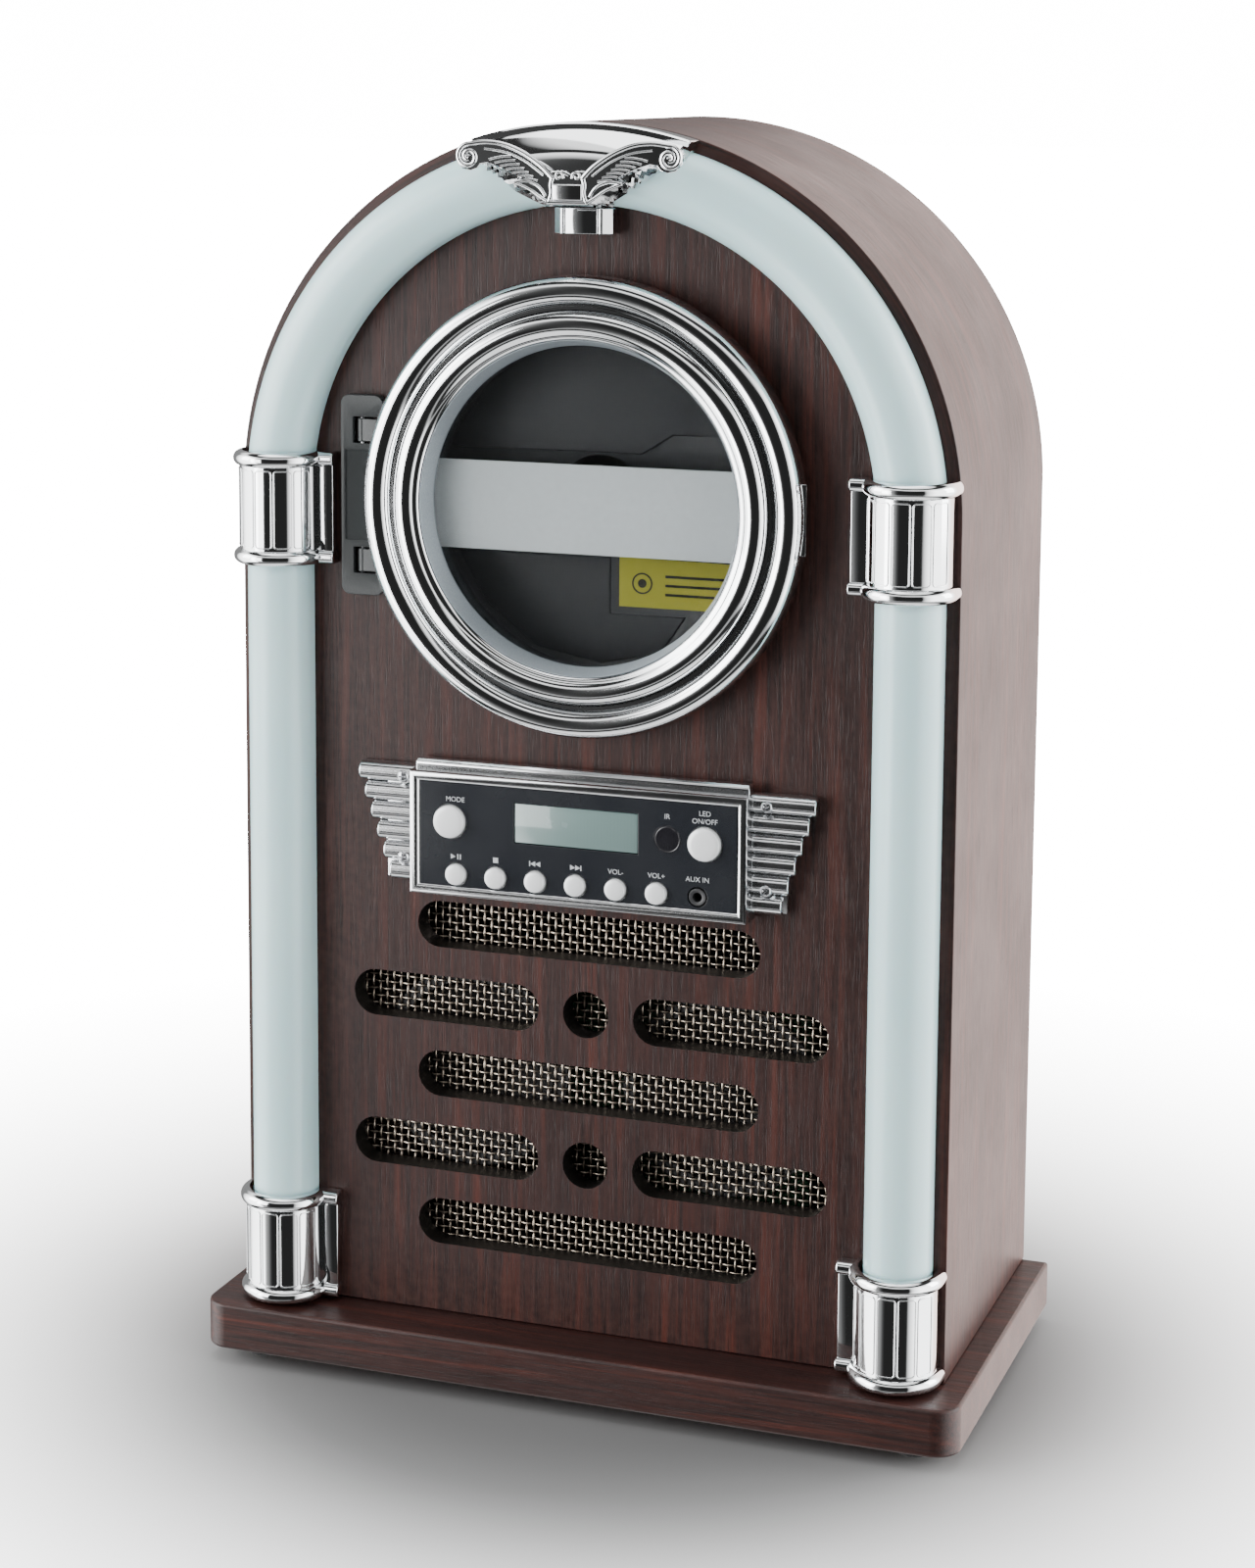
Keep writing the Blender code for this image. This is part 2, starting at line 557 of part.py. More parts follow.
def make_sled():
    pitch = math.pi * GEAR_MODULE
    addendum, dedendum = 0.8 * GEAR_MODULE, 1.25 * GEAR_MODULE
    y_low, y_high = FRONT + 0.0185, FRONT + 0.0250
    rod_z, rod_y, rod_r = SLED_Z + 0.0095, FRONT + 0.0218, 0.0015
    sled = block("laser_sled", (0.016, 0.036), (y_low, y_high), (SLED_Z - 0.0120, SLED_Z + 0.0130),
                 "black_plastic")
    root_z, tip_z, top_z = RACK_Z + dedendum, RACK_Z - addendum, SLED_Z - 0.0112
    teeth = 17
    rack = []
    for tooth in range(teeth):
        middle = GEAR_X + (tooth - teeth + 1.5) * pitch
        rack += [(middle - 0.27 * pitch, root_z), (middle - 0.10 * pitch, tip_z),
                 (middle + 0.10 * pitch, tip_z), (middle + 0.27 * pitch, root_z)]
    ends = (rack[-1][0] + 0.0008, rack[0][0] - 0.0008)
    outline = rack + [(ends[0], root_z), (ends[0], top_z), (ends[1], top_z), (ends[1], root_z)]
    join(sled, extruded("rack_teeth", outline, FRONT + 0.0222, y_high - 0.0002, "Y", None),
         rod("lens_boss", 0.0032, FRONT + 0.0158, y_low + 0.001, (LENS_X, 0, SLED_Z), "Y", None))
    cut(sled, rod("sled_bore", rod_r + 0.0002, 0.0, 0.06, (0, rod_y, rod_z), "X", None))
    rod("guide_rod", rod_r, 0.0125, 0.0760, (0, rod_y, rod_z), "X", "steel", 16)

    gear_z = RACK_Z - GEAR_R
    outline = toothed(GEAR_TEETH, GEAR_R + addendum, GEAR_R - dedendum, pitch, 0.20, 0.54, math.pi / 2)
    gear = extruded("sled_gear", [(GEAR_X + x, gear_z + z) for x, z in outline], FRONT + 0.0225,
                    FRONT + 0.0245, "Y", "white_card")
    chassis_front, chassis_back = FRONT + 0.0300, FRONT + 0.0315
    join(gear, rod("gear_shaft", 0.0012, FRONT + 0.0240, FRONT + 0.0360, (GEAR_X, 0, gear_z), "Y", None, 12))
    motor = [(0.0, 0.0368), (0.0014, 0.0368), (0.0014, 0.0318), (0.0075, 0.0318), (0.0075, 0.0450),
             (0.0, 0.0450)]
    turned("sled_motor", [(r, FRONT + d) for r, d in motor], (GEAR_X, 0, gear_z), "Y", "steel", 16)

    chassis = block("deck_chassis", (-0.030, 0.086), (chassis_front, chassis_back),
                    (ARCH_Z - 0.030, ARCH_Z + 0.030), "black_plastic")
    posts = []
    for number, (x, z) in enumerate(((-0.024, -0.026), (-0.024, 0.026), (0.030, -0.026), (0.030, 0.026))):
        posts.append(rod(f"post_{number}", 0.003, FRONT + 0.0173, chassis_front + 0.0005,
                         (x, 0, ARCH_Z + z), "Y", None, 12))
    join(chassis, *posts)
    cut(chassis, rod("shaft_hole", 0.0018, FRONT + 0.02, FRONT + 0.04, (GEAR_X, 0, gear_z), "Y", None, 12))


# The control panel

FRAME_HALF_X, FRAME_HALF_Z = 0.0660, 0.0235
FRAME_OUT = 0.0130
FACE_HALF_X, FACE_HALF_Z = 0.0622, 0.0197
FACE_OUT, FACE_THICK = 0.0121, 0.0020
SCREEN_Z = PANEL_Z + 0.0065
LARGE_BUTTONS = {"power_button": -0.050, "lamp_button": 0.050}
SMALL_BUTTONS = ("play_button", "stop_button", "previous_button", "next_button",
                 "volume_down_button", "volume_up_button")
KEY_PITCH = 0.0158
FIRST_KEY_X = -3 * KEY_PITCH
LARGE_Z, SMALL_Z = PANEL_Z + 0.0050, PANEL_Z - 0.0150
LARGE_R, SMALL_R = 0.0062, 0.0040
JACK_X = FIRST_KEY_X + 6 * KEY_PITCH


def keys():
    """Every button, as (name, x, z, radius)."""
    large = [(name, x, LARGE_Z, LARGE_R) for name, x in LARGE_BUTTONS.items()]
    small = [(name, FIRST_KEY_X + number * KEY_PITCH, SMALL_Z, SMALL_R)
             for number, name in enumerate(SMALL_BUTTONS)]
    return large + small


def make_panel_frame():
    frame = block("panel_frame", (-FRAME_HALF_X, FRAME_HALF_X), (FRONT - FRAME_OUT, FRONT - GAP),
                  (PANEL_Z - FRAME_HALF_Z, PANEL_Z + FRAME_HALF_Z), "chrome")
    parts = [block("top_bar", (-0.0653, 0.0653), (FRONT - 0.0080, FRONT - 0.0015),
                   (PANEL_Z + FRAME_HALF_Z - 0.001, PANEL_Z + FRAME_HALF_Z + 0.0030), None)]
    rib_pitch, rib_r, rib_out = 0.0075, 0.0040, 0.0030
    top_rib_z = PANEL_Z + 0.0200
    for sign in (-1, 1):
        for rib in range(6):
            tip = 0.0900 - rib * 0.0025
            middle = top_rib_z - rib * rib_pitch
            crown = [(FRONT - y, z) for z, y in arc(rib_r, 0, 180, 6, (middle, rib_out))]
            outline = [(FRONT - GAP, middle + rib_r), *crown, (FRONT - GAP, middle - rib_r)]
            low, high = sorted((sign * 0.0640, sign * tip))
            parts.append(extruded(f"rib_{sign}_{rib}", outline, low, high, "X", None))
    join(frame, *parts)
    cutters = [block("face_cutter", (-FACE_HALF_X - GAP, FACE_HALF_X + GAP), (FRONT - 0.03, FRONT + 0.01),
                     (PANEL_Z - FACE_HALF_Z - GAP, PANEL_Z + FACE_HALF_Z + GAP), None)]
    for side, sign in (("left", -1), ("right", 1)):
        for level, z in zip(("upper", "lower"), SCREW_ZS):
            centre = (sign * SCREW_X, 0, z)
            head_front, head_back = FRONT - 0.0072, FRONT - 0.0050
            cutters.append(rod(f"sink_{side}_{level}", 0.0028, FRONT - 0.02, head_back + GAP, centre, "Y",
                               None))
            cutters.append(rod(f"hole_{side}_{level}", 0.0015, head_back - 0.001, FRONT + 0.01, centre,
                               "Y", None, 12))
            screw = [(0.0, head_front), (0.0016, head_front), (0.0024, head_front + 0.0008),
                     (0.0024, head_back), (0.0012, head_back), (0.0012, FRONT + 0.009),
                     (0.0, FRONT + 0.009)]
            turned(f"panel_screw_{level}_{side}", screw, centre, "Y", "steel", 10)
    cut(frame, *cutters)


def make_panel_face():
    face_front, face_back = FRONT - FACE_OUT, FRONT - FACE_OUT + FACE_THICK
    face = block("panel_face", (-FACE_HALF_X, FACE_HALF_X), (face_front, face_back),
                 (PANEL_Z - FACE_HALF_Z, PANEL_Z + FACE_HALF_Z), "gloss_black")
    reach = (face_front - 0.01, face_back + 0.01)
    cutters = [block("screen_cutter", (-0.0244, 0.0244), reach, (SCREEN_Z - 0.0077, SCREEN_Z + 0.0077),
                     None),
               rod("jack_cutter", 0.0039, *reach, (JACK_X, 0, SMALL_Z), "Y", None)]
    for name, x, z, radius in keys():
        cutters.append(rod(f"{name}_cutter", radius + 2 * GAP, *reach, (x, 0, z), "Y", None, 14))
    cut(face, *cutters)

    block("lcd_module", (-0.0241, 0.0241), (face_front + 0.0004, FRONT - 0.0070),
          (SCREEN_Z - 0.0074, SCREEN_Z + 0.0074), "screen_glass")
    jack = [(0.0018, face_front - GAP), (0.0036, face_front - GAP), (0.0036, FRONT - 0.0040),
            (0.0, FRONT - 0.0040), (0.0, FRONT - 0.0055), (0.0018, FRONT - 0.0055)]
    turned("aux_jack", jack, (JACK_X, 0, SMALL_Z), "Y", "black_plastic", 16)
    block("control_board", (-0.058, 0.058), (FRONT - 0.0030, FRONT - 0.0014),
          (PANEL_Z - 0.0185, PANEL_Z + 0.0165), "board")


def make_buttons():
    cap_front, face_back = FRONT - 0.0144, FRONT - FACE_OUT + FACE_THICK
    for name, x, z, radius in keys():
        profile = [(0.0, cap_front), (radius - 0.0006, cap_front), (radius, cap_front + 0.0006),
                   (radius, face_back + GAP), (radius + 0.0010, face_back + GAP),
                   (radius + 0.0010, face_back + GAP + 0.0008), (0.0018, face_back + GAP + 0.0008),
                   (0.0018, FRONT - 0.0042), (0.0, FRONT - 0.0042)]
        turned(name, profile, (x, 0, z), "Y", "button_plastic", 14)


clear_scene()
make_materials()
make_case()
make_front()
make_back()
make_speakers()
make_tubes()
make_collars()
make_clasp()
make_hinge()
make_door()
make_bay()
make_sled()
make_panel_frame()
make_panel_face()
make_buttons()
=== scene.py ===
import math

import bpy
from mathutils import Matrix, Vector


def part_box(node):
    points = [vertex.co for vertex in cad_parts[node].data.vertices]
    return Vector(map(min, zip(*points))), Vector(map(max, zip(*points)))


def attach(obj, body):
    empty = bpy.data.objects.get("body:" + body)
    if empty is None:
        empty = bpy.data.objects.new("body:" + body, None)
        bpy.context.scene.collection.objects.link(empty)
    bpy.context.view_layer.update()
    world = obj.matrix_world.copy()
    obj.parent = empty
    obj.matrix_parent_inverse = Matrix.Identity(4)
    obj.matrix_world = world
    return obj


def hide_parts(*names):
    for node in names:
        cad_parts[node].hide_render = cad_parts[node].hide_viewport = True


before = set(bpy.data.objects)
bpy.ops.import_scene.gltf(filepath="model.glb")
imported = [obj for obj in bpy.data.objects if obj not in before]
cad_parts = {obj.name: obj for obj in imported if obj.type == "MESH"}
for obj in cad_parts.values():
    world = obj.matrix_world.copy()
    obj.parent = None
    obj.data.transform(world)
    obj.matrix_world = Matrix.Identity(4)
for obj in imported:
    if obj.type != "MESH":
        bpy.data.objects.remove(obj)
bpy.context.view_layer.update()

# The studio: a pale floor that runs on into a white surround, with a painted contact shadow that darkens its
# colour close to the case, and soft lights at the left, behind the right side and overhead. The sky's bright
# and dark bands are what the chrome shows.

YAW, PITCH, ROLL = math.radians(20.55), math.radians(8.12), math.radians(0.17)
eye = bpy.data.cameras.new("eye")
eye.lens = 74.02
eye.shift_x, eye.shift_y = 0.0516, -0.1625
eye.clip_start, eye.clip_end = 0.05, 60.0
stand = bpy.data.objects.new("eye", eye)
bpy.context.scene.collection.objects.link(stand)
turn = Matrix.Rotation(YAW, 4, "Z") @ Matrix.Rotation(math.pi / 2 - PITCH, 4, "X") @ Matrix.Rotation(ROLL, 4, "Z")
stand.matrix_world = Matrix.Translation((0.3971, -1.1585, 0.4999)) @ turn
bpy.context.scene.camera = stand


def softbox(name, place, aim, width, height, power):
    bpy.ops.object.light_add(type="AREA", location=place)
    lamp = bpy.context.object
    lamp.name = name
    lamp.rotation_euler = (Vector(aim) - Vector(place)).to_track_quat("-Z", "Y").to_euler()
    lamp.data.shape = "RECTANGLE"
    lamp.data.size, lamp.data.size_y = width, height
    lamp.data.energy = power


softbox("near_left", (-0.72, -0.84, 0.30), (-0.1, 0, 0.3), 0.5, 0.75, 7)
softbox("key_left", (-1.9, -0.7, 0.9), (0, 0, 0.28), 0.9, 1.3, 18)
softbox("back_right", (1.7, 0.6, 0.7), (0, 0, 0.25), 0.8, 1.3, 20)
softbox("overhead", (-0.2, 0.2, 2.2), (0, 0, 0.3), 1.5, 1.1, 12)

studio = bpy.data.worlds.new("studio")
bpy.context.scene.world = studio
studio.use_nodes = True
sky = studio.node_tree
sky.nodes.clear()


def added(tree, kind, **values):
    """A new shader node. A name with a capital sets one of its inputs, any other sets the node itself."""
    made = tree.nodes.new(kind)
    for key, value in values.items():
        if key[0].isupper():
            made.inputs[key.replace("_", " ")].default_value = value
        else:
            setattr(made, key, value)
    return made


def wire(tree, *pairs):
    for start, end in pairs:
        tree.links.new(start, end)


def stops(ramp, *pairs):
    """Fills a colour ramp with (place, brightness or colour) pairs."""
    elements = ramp.color_ramp.elements
    while len(elements) > 1:
        elements.remove(elements[-1])
    for number, (place, shade) in enumerate(pairs):
        colour = (shade, shade, shade, 1.0) if isinstance(shade, (int, float)) else (*shade, 1.0)
        element = elements[0] if number == 0 else elements.new(place)
        element.position = place
        element.color = colour


where = added(sky, "ShaderNodeTexCoord")
parts = added(sky, "ShaderNodeSeparateXYZ")
height = added(sky, "ShaderNodeMapRange", From_Min=-1.0)
by_height = added(sky, "ShaderNodeValToRGB")
stops(by_height, (0.0, 0.0), (0.16, 0.0), (0.24, 1.0), (0.72, 1.0), (0.82, 0.0), (1.0, 0.0))
around = added(sky, "ShaderNodeTexGradient", gradient_type="RADIAL")
cards = added(sky, "ShaderNodeValToRGB")
warm_card = (0.56, 0.46, 0.43)
stops(cards, (0.0, 0.8), (0.125, 1.0), (0.145, 0.10), (0.185, 0.015), (0.20, 0.004), (0.37, 0.004), (0.40, 0.35),
      (0.45, 0.8), (0.60, 0.8), (0.64, warm_card), (0.76, warm_card), (0.79, 0.05), (0.94, 0.05), (1.0, 0.8))
canopy = added(sky, "ShaderNodeValToRGB")
stops(canopy, (0.0, 0.25), (0.08, 0.25), (0.11, 0.006), (0.17, 0.006), (0.20, 0.20), (0.74, 0.30), (0.82, 0.36),
      (0.86, 0.006), (0.93, 0.006), (0.95, 0.30), (1.0, 0.30))
both = added(sky, "ShaderNodeMix", data_type="RGBA")
lit = added(sky, "ShaderNodeBackground", Strength=6.5)
white = added(sky, "ShaderNodeBackground", Strength=20.0)
seen = added(sky, "ShaderNodeLightPath")
chosen = added(sky, "ShaderNodeMixShader")
out = added(sky, "ShaderNodeOutputWorld")
wire(sky, (where.outputs["Generated"], parts.inputs[0]), (parts.outputs["Z"], height.inputs["Value"]),
     (height.outputs["Result"], by_height.inputs["Fac"]), (where.outputs["Generated"], around.inputs["Vector"]),
     (around.outputs["Fac"], cards.inputs["Fac"]), (by_height.outputs["Color"], both.inputs["Factor"]),
     (height.outputs["Result"], canopy.inputs["Fac"]), (canopy.outputs["Color"], both.inputs[6]),
     (cards.outputs["Color"], both.inputs[7]), (both.outputs[2], lit.inputs["Color"]),
     (seen.outputs["Is Camera Ray"], chosen.inputs[0]), (lit.outputs[0], chosen.inputs[1]),
     (white.outputs[0], chosen.inputs[2]), (chosen.outputs[0], out.inputs["Surface"]))

bpy.ops.mesh.primitive_plane_add(size=40.0, location=(0, 0, 0))
floor = bpy.context.object
floor.name = "floor"
paper = bpy.data.materials.new("paper_floor")
paper.use_nodes = True
floor.data.materials.append(paper)
ground = paper.node_tree
ground_shader = ground.nodes["Principled BSDF"]
for label, value in (("Base Color", (0.80, 0.80, 0.80, 1.0)), ("Roughness", 0.7), ("Specular IOR Level", 0.2),
                     ("Emission Color", (1.0, 1.0, 1.0, 1.0))):
    ground_shader.inputs[label].default_value = value
spot = added(ground, "ShaderNodeTexCoord")
length = added(ground, "ShaderNodeVectorMath", operation="LENGTH")
fade = added(ground, "ShaderNodeMapRange", interpolation_type="SMOOTHSTEP", From_Min=0.14, From_Max=0.75, To_Max=20.0)
# Painted contact shadow: the floor's colour is 0.14 within 0.10 m of the middle and rises to 0.55 beyond 0.30 m.
painted_contact_shadow = added(ground, "ShaderNodeMapRange", interpolation_type="SMOOTHSTEP", From_Min=0.10, From_Max=0.30,
             To_Min=0.14, To_Max=0.55)
ray = added(ground, "ShaderNodeLightPath")
far_white = added(ground, "ShaderNodeMath", operation="MULTIPLY")
unseen = added(ground, "ShaderNodeBsdfTransparent")
either = added(ground, "ShaderNodeMixShader")
wire(ground, (spot.outputs["Object"], length.inputs[0]), (length.outputs["Value"], fade.inputs["Value"]),
     (fade.outputs["Result"], far_white.inputs[0]), (ray.outputs["Is Camera Ray"], far_white.inputs[1]),
     (far_white.outputs[0], ground_shader.inputs["Emission Strength"]),
     (length.outputs["Value"], painted_contact_shadow.inputs["Value"]), (painted_contact_shadow.outputs["Result"], ground_shader.inputs["Base Color"]),
     (ray.outputs["Is Glossy Ray"], either.inputs[0]), (ground_shader.outputs[0], either.inputs[1]),
     (unseen.outputs[0], either.inputs[2]), (either.outputs[0], ground.nodes["Material Output"].inputs["Surface"]))

# The wooden case: an arched shell of bent fibreboard, a front board let into it and a plinth, all covered
# in dark walnut foil. The foil's grain runs up the front, round the shell and along the plinth.

shell_low, shell_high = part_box("cabinet_shell")
front_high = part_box("front_panel")[1]
plinth_low, plinth_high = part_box("plinth")
FRONT, BACK = shell_low[1], shell_high[1]
HALF = shell_high[0]
FOOT_Z = shell_low[2]
ARCH_Z = shell_high[2] - HALF
SHELL_WALL = HALF - front_high[0]
GAP = 0.0003


def deselect():
    bpy.ops.object.select_all(action="DESELECT")


def drawn(name, points):
    """Starts a piece in edit mode: one point, extruded on through the others, and closed by a face."""
    deselect()
    bpy.ops.mesh.primitive_plane_add(size=0.001, location=points[0])
    piece = bpy.context.object
    piece.name = name
    piece.data.name = name
    bpy.ops.object.transform_apply(location=True, rotation=True, scale=True)
    bpy.ops.object.mode_set(mode="EDIT")
    bpy.ops.mesh.select_all(action="SELECT")
    bpy.ops.mesh.merge(type="CENTER")
    for start, end in zip(points, points[1:]):
        step = Vector(end) - Vector(start)
        bpy.ops.mesh.extrude_region_move(TRANSFORM_OT_translate={"value": step})
    bpy.ops.mesh.select_all(action="SELECT")
    bpy.ops.mesh.edge_face_add()
    return piece


def extrude(x=0.0, y=0.0, z=0.0):
    bpy.ops.mesh.extrude_region_move(TRANSFORM_OT_translate={"value": (x, y, z)})


def closed(piece, smooth=35):
    """Leaves edit mode with the faces turned outwards, and smooths all but the sharp edges."""
    bpy.ops.mesh.select_all(action="SELECT")
    bpy.ops.mesh.remove_doubles(threshold=1e-6)
    bpy.ops.mesh.normals_make_consistent(inside=False)
    bpy.ops.object.mode_set(mode="OBJECT")
    if smooth:
        bpy.ops.object.shade_smooth_by_angle(angle=math.radians(smooth))
    return piece


def finished(piece, kind, **settings):
    """Adds one modifier to a piece and applies it."""
    deselect()
    piece.select_set(True)
    bpy.context.view_layer.objects.active = piece
    step = piece.modifiers.new(kind.lower(), kind)
    for key, value in settings.items():
        setattr(step, key, value)
    bpy.ops.object.modifier_apply(modifier=step.name)
    return piece


def softened(piece, width, segments=2, angle=35):
    """Rounds a piece's sharp edges."""
    finished(piece, "BEVEL", width=width, segments=segments, limit_method="ANGLE",
             angle_limit=math.radians(angle), harden_normals=False, use_clamp_overlap=True)
    bpy.ops.object.shade_smooth_by_angle(angle=math.radians(35))
    return piece


def flattened(piece):
    """Keeps broad flat faces flat beside their rounded edges."""
    return finished(piece, "WEIGHTED_NORMAL", keep_sharp=True, weight=100)


def cut(piece, *cutters):
    for cutter in cutters:
        finished(piece, "BOOLEAN", operation="DIFFERENCE", object=cutter, solver="EXACT")
        bpy.data.objects.remove(cutter)
    return piece


def joined(piece, *others):
    """Joins loose pieces into one object."""
    deselect()
    for other in others:
        other.select_set(True)
    piece.select_set(True)
    bpy.context.view_layer.objects.active = piece
    bpy.ops.object.join()
    return piece


def arc(radius, start, end, steps, centre=(0.0, 0.0)):
    """Points on a circle between two angles in degrees, as pairs."""
    angles = [math.radians(start + (end - start) * step / steps) for step in range(steps + 1)]
    return [(centre[0] + radius * math.cos(a), centre[1] + radius * math.sin(a)) for a in angles]


def prism(name, outline, along, low, high, smooth=35):
    """A straight bar: outline holds pairs of the two axes other than along, in X, Y, Z order."""
    axis = "XYZ".index(along)
    points = []
    for pair in outline:
        place = list(pair)
        place.insert(axis, low)
        points.append(place)
    piece = drawn(name, points)
    step = [0.0, 0.0, 0.0]
    step[axis] = high - low
    extrude(*step)
    return closed(piece, smooth)


def slab(name, low, high):
    """A plain bar between two corners, as the start of a piece or as a cutter."""
    outline = [(low[0], low[1]), (high[0], low[1]), (high[0], high[1]), (low[0], high[1])]
    return prism(name, outline, "Z", low[2], high[2], 0)


def turned(name, profile, centre, along="Y", steps=64, smooth=40):
    """A lathe piece: profile is a closed outline of (radius, place along the axis)."""
    axis = "XYZ".index(along)
    across = 0 if axis else 2
    points = []
    for radius, place in profile:
        point = list(centre)
        point[axis] = place
        point[across] += radius
        points.append(point)
    piece = drawn(name, points)
    bpy.ops.mesh.delete(type="ONLY_FACE")
    bpy.ops.mesh.select_all(action="SELECT")
    direction = [0.0, 0.0, 0.0]
    direction[axis] = 1.0
    bpy.ops.mesh.spin(steps=steps, angle=2 * math.pi, center=centre, axis=direction)
    return closed(piece, smooth)


def swept_arch(name, section, foot):
    """A section of (x, y) pairs, carried up the right side, round the arch and down the left side."""
    piece = drawn(name, [(x, y, foot) for x, y in section])
    extrude(z=ARCH_Z - foot)
    bpy.ops.mesh.spin(steps=96, angle=math.pi, center=(0, 0, ARCH_Z), axis=(0, 1, 0))
    extrude(z=foot - ARCH_Z)
    return closed(piece)


def group(name, inputs, outputs):
    """A shader node group with named sockets, and the helpers to fill it."""
    made = bpy.data.node_groups.new(name, "ShaderNodeTree")
    for label, kind, value in inputs:
        socket = made.interface.new_socket(label, in_out="INPUT", socket_type=f"NodeSocket{kind}")
        if value is not None:
            socket.default_value = value
    for label, kind in outputs:
        made.interface.new_socket(label, in_out="OUTPUT", socket_type=f"NodeSocket{kind}")
    start, end = made.nodes.new("NodeGroupInput"), made.nodes.new("NodeGroupOutput")
    return made, start.outputs, end.inputs


def maths(tree, operation, one, two=None):
    made = added(tree, "ShaderNodeMath", operation=operation)
    for socket, value in zip(made.inputs, (one, two)):
        if isinstance(value, (int, float)):
            socket.default_value = value
        elif value is not None:
            tree.links.new(value, socket)
    return made.outputs[0]


def stretched_noise(tree, vector, scale, detail=4.0, rough=0.55, distortion=0.0):
    """Noise with its own scale along each axis, for grain and brushing."""
    place = added(tree, "ShaderNodeMapping", Scale=scale)
    made = added(tree, "ShaderNodeTexNoise", Scale=1.0, Detail=detail, Roughness=rough, Distortion=distortion)
    wire(tree, (vector, place.inputs["Vector"]), (place.outputs[0], made.inputs["Vector"]))
    return made.outputs["Fac"]


def band(tree, value, low, high, to_low=0.0, to_high=1.0):
    made = added(tree, "ShaderNodeMapRange", From_Min=low, From_Max=high, To_Min=to_low, To_Max=to_high)
    tree.links.new(value, made.inputs["Value"])
    return made.outputs["Result"]


def mixed(tree, factor, one, two):
    made = added(tree, "ShaderNodeMix", data_type="RGBA")
    for socket, value in zip((made.inputs[0], made.inputs[6], made.inputs[7]), (factor, one, two)):
        if isinstance(value, (int, float)):
            socket.default_value = value
        elif isinstance(value, tuple):
            socket.default_value = (*value, 1.0)
        else:
            tree.links.new(value, socket)
    return made.outputs[2]


def walnut_group():
    """Dark walnut foil: fine streaks along Z, broad bands, a red tone and short dark pores."""
    tree, given, result = group("walnut_foil", [("Vector", "Vector", None)],
                                [("Color", "Color"), ("Roughness", "Float"), ("Height", "Float")])
    vector = given["Vector"]
    streaks = stretched_noise(tree, vector, (760, 760, 21), 5.0, 0.66, 0.35)
    bands = stretched_noise(tree, vector, (70, 70, 3.5), 4.0, 0.6, 0.9)
    red = stretched_noise(tree, vector, (210, 210, 7), 5.0, 0.66, 0.5)
    pores = stretched_noise(tree, vector, (2300, 2300, 75), 2.0, 0.5)
    fine = stretched_noise(tree, vector, (2600, 2600, 60), 3.0, 0.6)
    tone = mixed(tree, band(tree, streaks, 0.36, 0.66), (0.0105, 0.0042, 0.0038), (0.048, 0.0160, 0.0128))
    tone = mixed(tree, band(tree, red, 0.50, 0.66, 0.0, 0.80), tone, (0.088, 0.0210, 0.0135))
    tone = mixed(tree, band(tree, bands, 0.36, 0.64, 0.70, 0.0), tone, (0.0170, 0.0064, 0.0058))
    pore = band(tree, pores, 0.58, 0.68)
    tone = mixed(tree, maths(tree, "MULTIPLY", pore, 0.6), tone, (0.0080, 0.0032, 0.0030))
    wire(tree, (tone, result["Color"]),
         (band(tree, fine, 0.3, 0.7, 0.34, 0.50), result["Roughness"]),
         (maths(tree, "SUBTRACT", maths(tree, "MULTIPLY", fine, 0.5), pore), result["Height"]))
    return tree


def wear_group():
    """Handling marks: a worn mask on raised edges, broad smears and fine dust, for any finish."""
    tree, given, result = group("handling_wear", [("Vector", "Vector", None), ("Scale", "Float", 300.0)],
                                [("Edge", "Float"), ("Smear", "Float"), ("Dust", "Float")])
    shape = tree.nodes.new("ShaderNodeNewGeometry")
    edge = band(tree, shape.outputs["Pointiness"], 0.52, 0.62)
    fine = added(tree, "ShaderNodeTexNoise", Detail=6.0)
    broad = added(tree, "ShaderNodeTexNoise", Scale=26.0, Detail=5.0)
    wire(tree, (given["Vector"], fine.inputs["Vector"]), (given["Scale"], fine.inputs["Scale"]),
         (given["Vector"], broad.inputs["Vector"]))
    speckle = band(tree, fine.outputs["Fac"], 0.35, 0.7)
    wire(tree, (maths(tree, "MULTIPLY", edge, speckle), result["Edge"]),
         (band(tree, broad.outputs["Fac"], 0.35, 0.65), result["Smear"]), (speckle, result["Dust"]))
    return tree


def placed(tree, source, socket, scale=None):
    """A shared effect, put into a material with its own grain size."""
    made = added(tree, "ShaderNodeGroup", node_tree=source)
    if scale:
        made.inputs["Scale"].default_value = scale
    tree.links.new(socket, made.inputs["Vector"])
    return made


def bumped(tree, height, strength, distance):
    made = added(tree, "ShaderNodeBump", Strength=strength, Distance=distance)
    tree.links.new(height, made.inputs["Height"])
    return made.outputs["Normal"]


WALNUT = walnut_group()
WEAR = wear_group()


def new_material(name, **constants):
    made = bpy.data.materials.new(name)
    made.use_nodes = True
    tree = made.node_tree
    shader = tree.nodes["Principled BSDF"]
    for label, value in constants.items():
        shader.inputs[label.replace("_", " ")].default_value = value
    place = tree.nodes.new("ShaderNodeTexCoord")
    return made, tree, shader.inputs, place.outputs["Object"]


